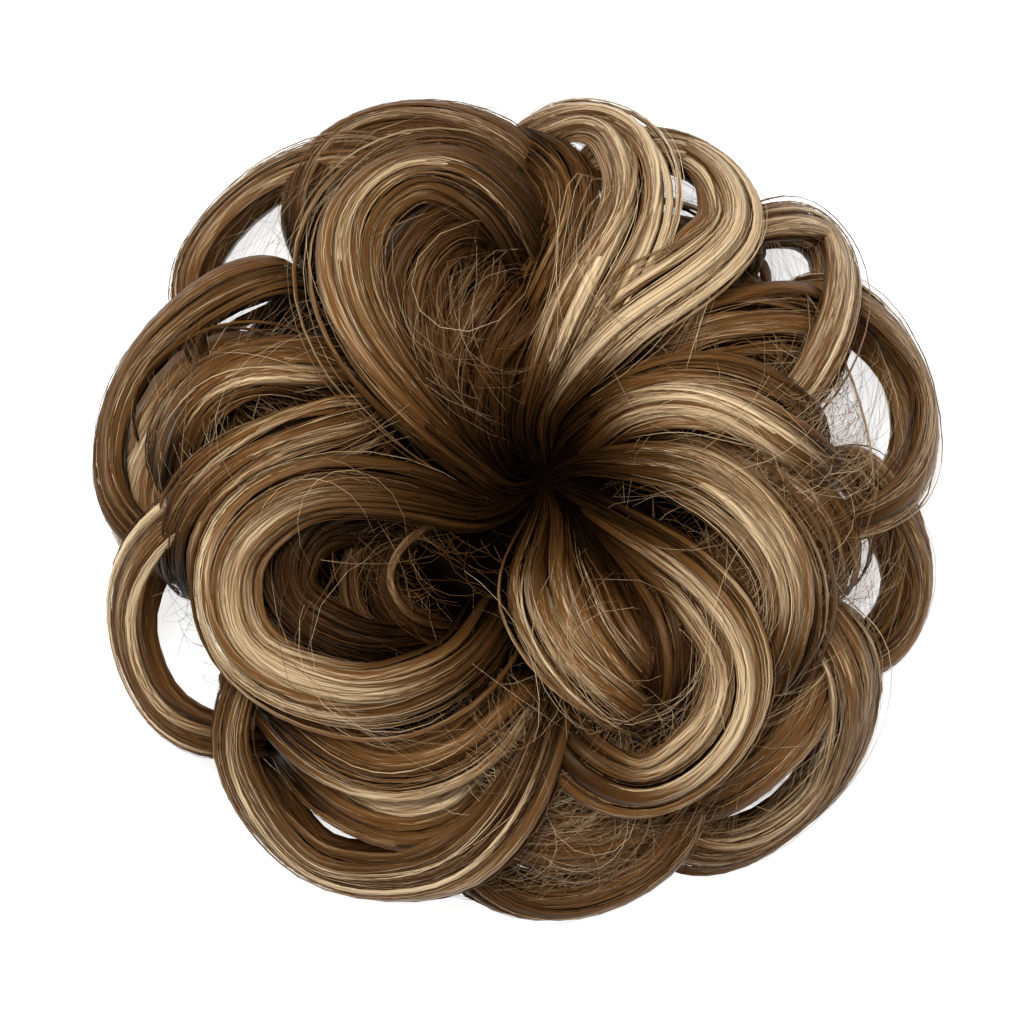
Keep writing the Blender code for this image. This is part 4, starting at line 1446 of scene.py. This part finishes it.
@dataclass
class PackedBase:
    """A body of packed hair turned about a vertical axis.

    outline holds the (radius, height) points of its section, which is a closed line clear of the axis or runs
    from the axis out and back. Its streaks go round its map strands times, and lumps is how far it swells.
    """

    tones = (0.03, 0.06)          # darkest tone of its map, and how much the palest is over it
    run = (0.3, 0.5)              # start and height of its map
    waves = ((17, 0, 0.6), (31, 300, 0.4))   # swells round it, their shift over its height, and their shares
    plain_radius = 0.004          # nearer to its axis it has no swell

    name: str
    outline: Sequence[tuple[float, float]]
    centre: np.ndarray
    steps: int
    closed: bool
    strands: float
    lumps: float = 0.0

    def paint(self, face: bmesh.types.BMFace, layer: bmesh.types.BMLayerItem, low: float, high: float
              ) -> None:
        """Places a face on the map.

        Args:
            face: The face.
            layer: The map.
            low: Lowest height of the body.
            high: Highest height of the body.
        """
        turns = [math.atan2(loop.vert.co.y, loop.vert.co.x) / math.tau % 1.0 for loop in face.loops]
        wraps = max(turns) - min(turns) > 0.5
        (dark, pale), (start, height) = self.tones, self.run
        for loop, turn in zip(face.loops, turns):
            turn += 1.0 if wraps and turn < 0.5 else 0.0
            loop[layer].uv = (dark + pale * abs(2 * (turn * self.strands % 1.0) - 1),
                              start + height * (loop.vert.co.z - low) / (high - low))

    def swell(self, vert: bmesh.types.BMVert) -> None:
        """Moves a vertex in or out by the lumps.

        Args:
            vert: The vertex.
        """
        turn, reach = math.atan2(vert.co.y, vert.co.x), math.hypot(vert.co.x, vert.co.y)
        if reach > self.plain_radius:
            lump = sum(math.sin(turn * times + vert.co.z * shift) * size for times, shift, size in self.waves)
            vert.co.xy *= 1 + self.lumps * lump / reach

    def build(self) -> bpy.types.Object:
        """The body.

        Returns:
            Its object.
        """
        mesh = bmesh.new()
        verts = [mesh.verts.new((radius, 0.0, height)) for radius, height in self.outline]
        ends = verts[1:] + verts[:1] if self.closed else verts[1:]
        for pair in zip(verts, ends):
            mesh.edges.new(pair)
        spun(mesh, self.steps)
        layer = mesh.loops.layers.uv.new(HAIR_MAP)
        low, high = (find(height for _, height in self.outline) for find in (min, max))
        for face in mesh.faces:
            self.paint(face, layer, low, high)
        for vert in mesh.verts:
            self.swell(vert)
            vert.co += Vector(self.centre)
        return new_mesh_object(self.name, mesh)


CROWN_GROUPS = {
    "crown_back_left_hairs": ("back_left_loop",),
    "crown_back_hairs": ("back_lock", "back_right_lock", "right_upper_curl", "right_thin_curl"),
    "crown_right_hairs": ("right_lock", "front_right_loop", "front_curl", "front_inner_curl"),
    "crown_left_hairs": ("left_loop",),
}
RIM_GROUPS = {
    "rim_back_hairs": ("back_left_rim", "left_back_rim", "left_rim", "back_right_rim", "right_back_rim"),
    "rim_front_hairs": ("left_front_rim", "front_left_rim", "front_rim", "front_right_rim", "right_front_rim",
                        "right_rim"),
}


def under_locks() -> tuple[Lock, ...]:
    """Lower half of each rim loop: the same line, drawn in and near the base.

    Returns:
        The locks, one for each rim lock.
    """
    start_reach, reach_share, lift_share, width_share = 0.74, 0.975, 0.42, 1.15
    return tuple(
        Lock("under_" + lock.name, lock.width * width_share, Tone.SHADE if index % 3 else Tone.BROWN,
             tuple((bearing, min(reach, 1.0) * reach_share, lift * lift_share)
                   for bearing, reach, lift in lock.stations if reach > start_reach))
        for index, lock in enumerate(RIM_LOCKS))


def courses() -> tuple[Course, ...]:
    """All the courses, the crown first and the shaded locks that close the view between the others last.

    Returns:
        The courses.
    """
    return (
        Course("crown", "crown_hair", CROWN_LOCKS, Sewing.ROLL, Combing(), HairFinish("crown_hair_strands"),
               packed_hair("crown_packed_hair"), groups=CROWN_GROUPS, nodes=("crown_locks",)),
        Course("inner", "crown_hair", INNER_LOCKS, Sewing.ROLL,
               Combing(hairs=120, sway=0.38, stray_share=0.5, stray_wander=0.0018, fly_share=0.14, cross=0.9),
               # darker copy of the crown's finish: painted shade for locks deep in the hollows
               HairFinish("inner_hair_strands", middle=(0.095, 0.038, 0.0105), light=(0.52, 0.34, 0.17),
                          root_shade=0.08, root_run=0.50, tip_start=0.50, tip_shade=0.08, bleach=0.10),
               packed_hair("crown_packed_hair"), nodes=("crown_locks",), has_base=False),
        Course("middle", "middle_hair", MIDDLE_LOCKS, Sewing.ROOT,
               Combing(hairs=72, fan_wisps=0.22, spread=1.05, pale_share=0.09, pale_hairs=0.08,
                       dark_share=0.30),
               HairFinish("middle_hair_strands"),
               packed_hair("middle_packed_hair"), MIDDLE_RING, nodes=("middle_locks",)),
        Course("rim", "rim_hair", RIM_LOCKS, Sewing.ROOT,
               Combing(hairs=135, loose=0.42, loose_share=0.26, slip_share=0.45, stray_wander=0.0010,
                       fly_wander=0.0020, fan_wisps=0.10, fan_hairs=0.20, spread=1.03),
               HairFinish("rim_hair_strands", middle=(0.150, 0.067, 0.0210), root_shade=0.26, root_run=0.26,
                          tip_start=0.70, tip_shade=0.30, bleach=0.17),
               packed_hair("rim_packed_hair"), RIM_RING, RIM_GROUPS, nodes=("rim_locks",)),
        Course("under", "under_hair", under_locks(), Sewing.BOTH,
               Combing(wisps=5, hairs=9, wisp_size=1.1, fan_wisps=0.0, sections_per_metre=110.0),
               HairFinish("under_hair_strands", root_shade=0.4, root_run=0.2, tip_shade=0.4, tip_start=0.8),
               packed_hair("under_packed_hair"), UNDER_RING, nodes=("under_locks",)),
        Course("shade", "middle_hair", FILL_LOCKS, Sewing.ROOT,
               Combing(wisps=9, hairs=30, sections_per_metre=120.0),
               HairFinish("shade_hair_strands", root_shade=0.4, root_run=0.2, tip_shade=0.6, tip_start=0.8),
               packed_hair("shade_packed_hair"), MIDDLE_RING, has_base=False),
    )


# Hairs across the gaps


@dataclass(frozen=True)
class Nest:
    """Fine hairs that lie across each other between locks.

    bearing, reach and lift place its middle as a lock's station does. heading is the way that its hairs run,
    in degrees, scatter how far they turn from it and bend how far each turns along its run, in radians.
    spread is how far from the middle they lie and length how long they are, in metres.
    """

    radius = 0.000036
    sections = 11
    bends = 0.9                   # how far its hairs' bends differ
    runs = (0.6, 1.3)             # their lengths, over its own
    sizes = (0.7, 1.2)            # their radii, over the plain radius
    room = 0.16                   # reach past its middle where they are held in
    farthest = 0.95
    lifts = 0.05
    end_drop = 0.25
    tones = 0.11                  # how far their tones differ
    run = (0.36, 0.60)            # of the shading along a lock that they show

    name: str
    bearing: float
    reach: float
    lift: float
    heading: float
    scatter: float
    spread: float
    length: float
    hairs: int
    tone: float
    bend: float = 0.8

    def comb(self, tubes: TubeField, rng: np.random.Generator) -> None:
        """Adds its hairs to a field of tubes.

        Args:
            tubes: The field.
            rng: Source of chance.
        """
        draws = Draws(rng, self.hairs)
        middle = FORM.place(self.bearing, self.reach, self.lift)[:2]
        start = middle + rng.normal(0, 1, (self.hairs, 2)) * self.spread
        heading = np.radians(self.heading + draws.normal(self.scatter))
        along = np.linspace(-0.5, 0.5, self.sections)
        angle = heading + draws.normal(self.bends, self.bend) * along
        run = along * self.length * draws.uniform(*self.runs)
        flat = start[:, None] + np.stack((run * np.cos(angle), run * np.sin(angle)), -1)
        reach = FORM.seen_from_eye(flat)[1]
        held_in = np.minimum(1, min(self.farthest, self.reach + self.room) / reach)
        flat = FORM.eye[:2] + (flat - FORM.eye[:2]) * held_in[..., None]
        lift = self.lift + draws.normal(self.lifts) - self.end_drop * (2 * along) ** 4
        height = FORM.height_at(reach * held_in, lift)
        tones = self.tone + draws.normal(self.tones)
        shares = np.tile(np.linspace(*self.run, self.sections), (self.hairs, 1))
        lines = np.concatenate((flat, height[..., None]), -1)
        radii = self.radius * draws.uniform(*self.sizes)
        tubes.add_hairs(lines, radii[:, 0], tones[:, 0], shares, FORM.facing(lines))


# Nests in the hollows have the darkest tones, as painted shade.
NESTS = (
    Nest("right_upper_strand", 22, 0.52, 1.07, 335, 4.5, 0.0016, 0.054, 21, 0.41, -1.0),
    Nest("right_lower_strand", 350, 0.56, 1.07, 300, 4.5, 0.0018, 0.051, 19, 0.39, -1.2),
    Nest("back_left_strand", 133, 0.55, 1.06, 112, 4.5, 0.0026, 0.054, 19, 0.31, -1.4),
    Nest("back_left_inner_strand", 124, 0.42, 0.98, 100, 6, 0.0030, 0.051, 24, 0.23, -1.2),
    Nest("back_strand", 83, 0.62, 1.06, 82, 4.5, 0.0018, 0.051, 19, 0.41, -0.7),
    Nest("back_right_strand", 50, 0.66, 1.06, 62, 5, 0.0018, 0.048, 19, 0.39, 0.6),
    Nest("left_strand", 178, 0.50, 1.06, 198, 4.5, 0.0018, 0.054, 19, 0.39, 1.3),
    Nest("front_left_strand", 228, 0.66, 1.04, 325, 5, 0.0018, 0.051, 19, 0.37, 0.9),
    Nest("front_right_strand", 313, 0.56, 1.06, 262, 4.5, 0.0018, 0.048, 19, 0.41, -1.2),
    Nest("front_strand", 274, 0.42, 1.05, 290, 5, 0.0016, 0.045, 18, 0.41, 0.7),
    Nest("back_left_loop_fill", 116, 0.50, 0.80, 82, 7, 0.0060, 0.054, 152, 0.15),
    Nest("back_left_loop_top", 112, 0.72, 0.66, 30, 9, 0.0050, 0.045, 56, 0.09),
    Nest("back_left_hollow", 104, 0.30, 0.66, 70, 9, 0.0050, 0.045, 64, 0.13),
    Nest("right_messy", 8, 0.68, 0.99, 35, 20, 0.0085, 0.042, 224, 0.31, 1.4),
    Nest("right_front_messy", 344, 0.78, 0.92, 70, 20, 0.0080, 0.042, 184, 0.29, 1.4),
    Nest("front_right_hollow", 312, 0.47, 0.80, 100, 22.5, 0.0070, 0.033, 104, 0.17, 1.6),
    Nest("left_loop_hollow", 212, 0.36, 0.62, 300, 18, 0.0070, 0.036, 120, 0.13, 2.0),
    Nest("left_loop_depth", 212, 0.20, 0.86, 330, 15, 0.0055, 0.024, 56, 0.05, 1.6),
    Nest("left_loop_curls", 205, 0.42, 0.74, 300, 12, 0.0060, 0.033, 88, 0.15, 2.4),
    Nest("left_loop_top", 194, 0.36, 0.78, 200, 13, 0.0050, 0.027, 48, 0.15),
    Nest("front_messy", 279, 0.78, 0.92, 30, 20, 0.0085, 0.039, 264, 0.31, 1.6),
    Nest("front_left_messy", 262, 0.60, 0.90, 330, 18, 0.0060, 0.039, 96, 0.27, 1.2),
    Nest("left_fill", 174, 0.74, 0.62, 100, 12, 0.0075, 0.045, 96, 0.25),
    Nest("left_messy", 168, 0.55, 0.82, 150, 15, 0.0075, 0.042, 104, 0.23),
    Nest("left_front_fill", 222, 0.70, 0.64, 150, 12.5, 0.0070, 0.045, 64, 0.25),
    Nest("back_left_gap", 138, 0.86, 0.62, 60, 7, 0.0055, 0.039, 40, 0.39),
    Nest("back_gap", 83, 0.84, 0.70, 60, 10, 0.0040, 0.027, 19, 0.43),
    Nest("back_right_gap", 40, 0.86, 0.66, 110, 10, 0.0055, 0.033, 32, 0.41),
    Nest("right_gap", 13, 0.88, 0.62, 80, 8, 0.0060, 0.039, 43, 0.39),
    Nest("front_left_fill", 246, 0.66, 0.74, 350, 12.5, 0.0065, 0.042, 72, 0.15),
    Nest("front_right_fill", 303, 0.80, 0.90, 40, 18, 0.0075, 0.042, 120, 0.27),
    Nest("back_right_fill", 58, 0.60, 0.84, 50, 9, 0.0065, 0.045, 120, 0.23, 1.4),
    Nest("right_hollow", 20, 0.36, 0.80, 10, 9, 0.0050, 0.039, 64, 0.13),
    Nest("front_right_rim_mess", 318, 0.86, 0.92, 48, 15, 0.0070, 0.048, 56, 0.35, 0.8),
    Nest("front_rim_mess", 281, 0.88, 0.88, 8, 15, 0.0060, 0.045, 48, 0.33, -0.6),
    Nest("left_rim_mess", 168, 0.84, 0.94, 262, 13, 0.0060, 0.048, 40, 0.33, 0.8),
    Nest("back_left_rim_mess", 118, 0.88, 0.96, 210, 12, 0.0050, 0.048, 32, 0.35, 0.8),
)


def ring_nests() -> Iterable[Nest]:
    """Dark hairs that fill the shade between the courses, all the way round.

    Yields:
        Their nests.
    """
    step = 15
    for bearing in range(0, 360, step):
        for level, (reach, lift) in enumerate(((0.62, 0.66), (0.76, 0.56))):
            yield Nest(f"shade_{bearing}_{level}", bearing, reach, lift, heading=bearing + 90, scatter=16,
                       spread=0.0050, length=0.045, hairs=7, tone=0.05)


def build_crossing_hairs(finish: HairFinish, rng: np.random.Generator) -> None:
    """The hairs of all the nests in one dressed object.

    Args:
        finish: Their finish.
        rng: Source of chance.
    """
    hairs = TubeField.for_hairs()
    for nest in (*NESTS, *ring_nests()):
        nest.comb(hairs, rng)
    dress(hairs.build("crossing_hairs"), finish.material(), "crown_hair")


# Elastic band


@dataclass(frozen=True)
class ElasticFinish:
    """Matte dark brown cloth, gathered over the elastic."""

    name: str = "elastic_cloth"
    dark: tuple[float, float, float] = (0.012, 0.007, 0.004)
    light: tuple[float, float, float] = (0.045, 0.026, 0.014)
    threads: float = 2600.0
    weave_edges: tuple[float, float] = (0.1, 0.5)
    soil: float = 220.0
    soil_edges: tuple[float, float] = (0.3, 0.7)
    roughness: tuple[float, float] = (0.75, 0.92)
    sheen: float = 0.25
    relief: float = 0.0002

    def material(self) -> bpy.types.Material:
        """The material.

        Returns:
            The cloth's material.
        """
        material, board, shader = new_material(self.name)
        place = board.add("ShaderNodeTexCoord").outputs["Object"]
        threads = board.add("ShaderNodeTexVoronoi", {"Vector": place, "Scale": self.threads})
        weave = threads.outputs["Distance"]
        soil = board.add("ShaderNodeTexNoise", {"Vector": place, "Scale": self.soil}).outputs["Fac"]
        share = board.span(board.math("MULTIPLY", weave, soil), *self.weave_edges)
        board.fill(shader, {"Base Color": board.mix(share, (*self.dark, 1), (*self.light, 1)),
                            "Roughness": board.span(soil, *self.soil_edges, *self.roughness),
                            "Sheen Weight": self.sheen, "Normal": board.bump(weave, self.relief)})
        return material


@dataclass(frozen=True)
class ElasticBand:
    """The ring that grips the wearer's bun: cloth drawn into fine gathers over elastic."""

    middle_radius: float = 0.0273
    half_width: float = 0.0032
    half_height: float = 0.0041
    fill: float = 0.92            # of its section, before it is gathered
    squareness: float = 0.35
    gathers: int = 46
    gather_depth: float = 0.00045
    waver: float = 1.3            # of the gathers along the band, in radians
    wavers: int = 5
    slant: float = 260.0          # of the gathers up the band, in radians per metre
    core_radius: float = 0.0001
    sides: int = 16
    steps: int = 368
    finish: ElasticFinish = ElasticFinish()

    def section(self, vert: bmesh.types.BMVert) -> None:
        """Moves a vertex of the unit circle onto the band's section, a rounded square."""
        x, z = vert.co.xy / max(abs(vert.co.x), abs(vert.co.y)) ** self.squareness * self.fill
        vert.co = Vector((self.middle_radius + x * self.half_width, 0.0, self.half_height * (1 + z)))

    def gather(self, vert: bmesh.types.BMVert) -> None:
        """Moves a vertex of the plain ring in or out with the gathers.

        Args:
            vert: The vertex.
        """
        turn, reach = math.atan2(vert.co.y, vert.co.x), math.hypot(vert.co.x, vert.co.y)
        out, rise = reach - self.middle_radius, vert.co.z - self.half_height
        ripple = math.sin(turn * self.gathers + self.waver * math.sin(turn * self.wavers) + rise * self.slant)
        fold = 1 + self.gather_depth * ripple / max(math.hypot(out, rise), self.core_radius)
        vert.co.xy *= (self.middle_radius + out * fold) / reach
        vert.co.z = max(self.half_height + rise * fold, 0.0)

    def build(self) -> bpy.types.Object:
        """The band.

        Returns:
            Its object.
        """
        mesh = bmesh.new()
        for vert in bmesh.ops.create_circle(mesh, cap_ends=False, segments=self.sides, radius=1.0)["verts"]:
            self.section(vert)
        spun(mesh, self.steps)
        for vert in mesh.verts:
            self.gather(vert)
        return new_mesh_object("gathered_elastic_band", mesh)


# Stage


@dataclass(frozen=True)
class Studio:
    """Pale floor, soft lamps and the camera straight above."""

    floor_half: float = 3.0
    floor_height: float = -0.0005
    floor_white: float = 0.92
    floor_glow: float = 0.75
    lamps: tuple[tuple[str, tuple[float, float, float], float, float], ...] = (
        ("key_lamp", (-0.16, 0.24, 1.00), 0.40, 8.6),
        ("fill_lamp", (0.45, -0.30, 0.90), 0.60, 2.0))
    lit_height: float = 0.03      # that the lamps face
    sky: float = 0.22
    camera_height: float = 1.625
    seen_width: float = 0.180
    seen_plane: float = 0.025
    shift_x: float = -0.00035
    shift_y: float = -0.00097
    sensor: float = 36.0
    far: float = 20.0

    def floor(self) -> None:
        """The floor."""
        mesh = bmesh.new()
        bmesh.ops.create_grid(mesh, x_segments=2, y_segments=2, size=self.floor_half)
        bmesh.ops.translate(mesh, verts=mesh.verts, vec=(0, 0, self.floor_height))
        thing = new_mesh_object("floor", mesh)
        material, board, shader = new_material("pale_floor")
        board.fill(shader, {"Base Color": (self.floor_white,) * 3 + (1,), "Roughness": 0.9,
                            "Specular IOR Level": 0.1, "Emission Color": (1, 1, 1, 1),
                            "Emission Strength": self.floor_glow})
        thing.data.materials.append(material)

    def lamp(self, name: str, place: tuple[float, float, float], size: float, watts: float) -> None:
        """A square soft lamp that faces the hairpiece.

        Args:
            name: Its name.
            place: Its middle.
            size: Its side.
            watts: Its power.
        """
        data = bpy.data.lights.new(name, "AREA")
        data.shape = "SQUARE"
        data.size = size
        data.energy = watts
        thing = new_object(name, data)
        thing.location = place
        beam = Vector((0, 0, self.lit_height)) - Vector(place)
        thing.rotation_euler = beam.to_track_quat("-Z", "Y").to_euler()

    def camera(self) -> None:
        """The camera."""
        data = bpy.data.cameras.new("camera")
        data.sensor_width = self.sensor
        data.lens = self.sensor * (self.camera_height - self.seen_plane) / self.seen_width
        data.clip_end = self.far
        thing = new_object("camera", data)
        thing.location = (self.shift_x, self.shift_y, self.camera_height)
        bpy.context.scene.camera = thing

    def build(self) -> None:
        """Floor, lamps, sky and camera."""
        self.floor()
        for lamp in self.lamps:
            self.lamp(*lamp)
        world = bpy.data.worlds.new("pale_sky")
        world.use_nodes = True
        background = world.node_tree.nodes["Background"]
        NodeBoard(world.node_tree).fill(background, {"Color": (1, 1, 1, 1), "Strength": self.sky})
        bpy.context.scene.world = world
        bpy.context.scene.view_settings.view_transform = "Standard"
        self.camera()


def main() -> None:
    """Builds the pieces in order."""
    logging.basicConfig(level=logging.INFO, format="%(message)s")
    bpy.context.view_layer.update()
    rng = np.random.default_rng(SEED)
    from_crown_down = courses()
    for course in from_crown_down:
        course.build(rng)
    build_crossing_hairs(from_crown_down[0].finish, rng)
    band = ElasticBand()
    dress(band.build(), band.finish.material(), "elastic", "elastic_band")
    Studio().build()


if __name__ == "__main__":
    main()
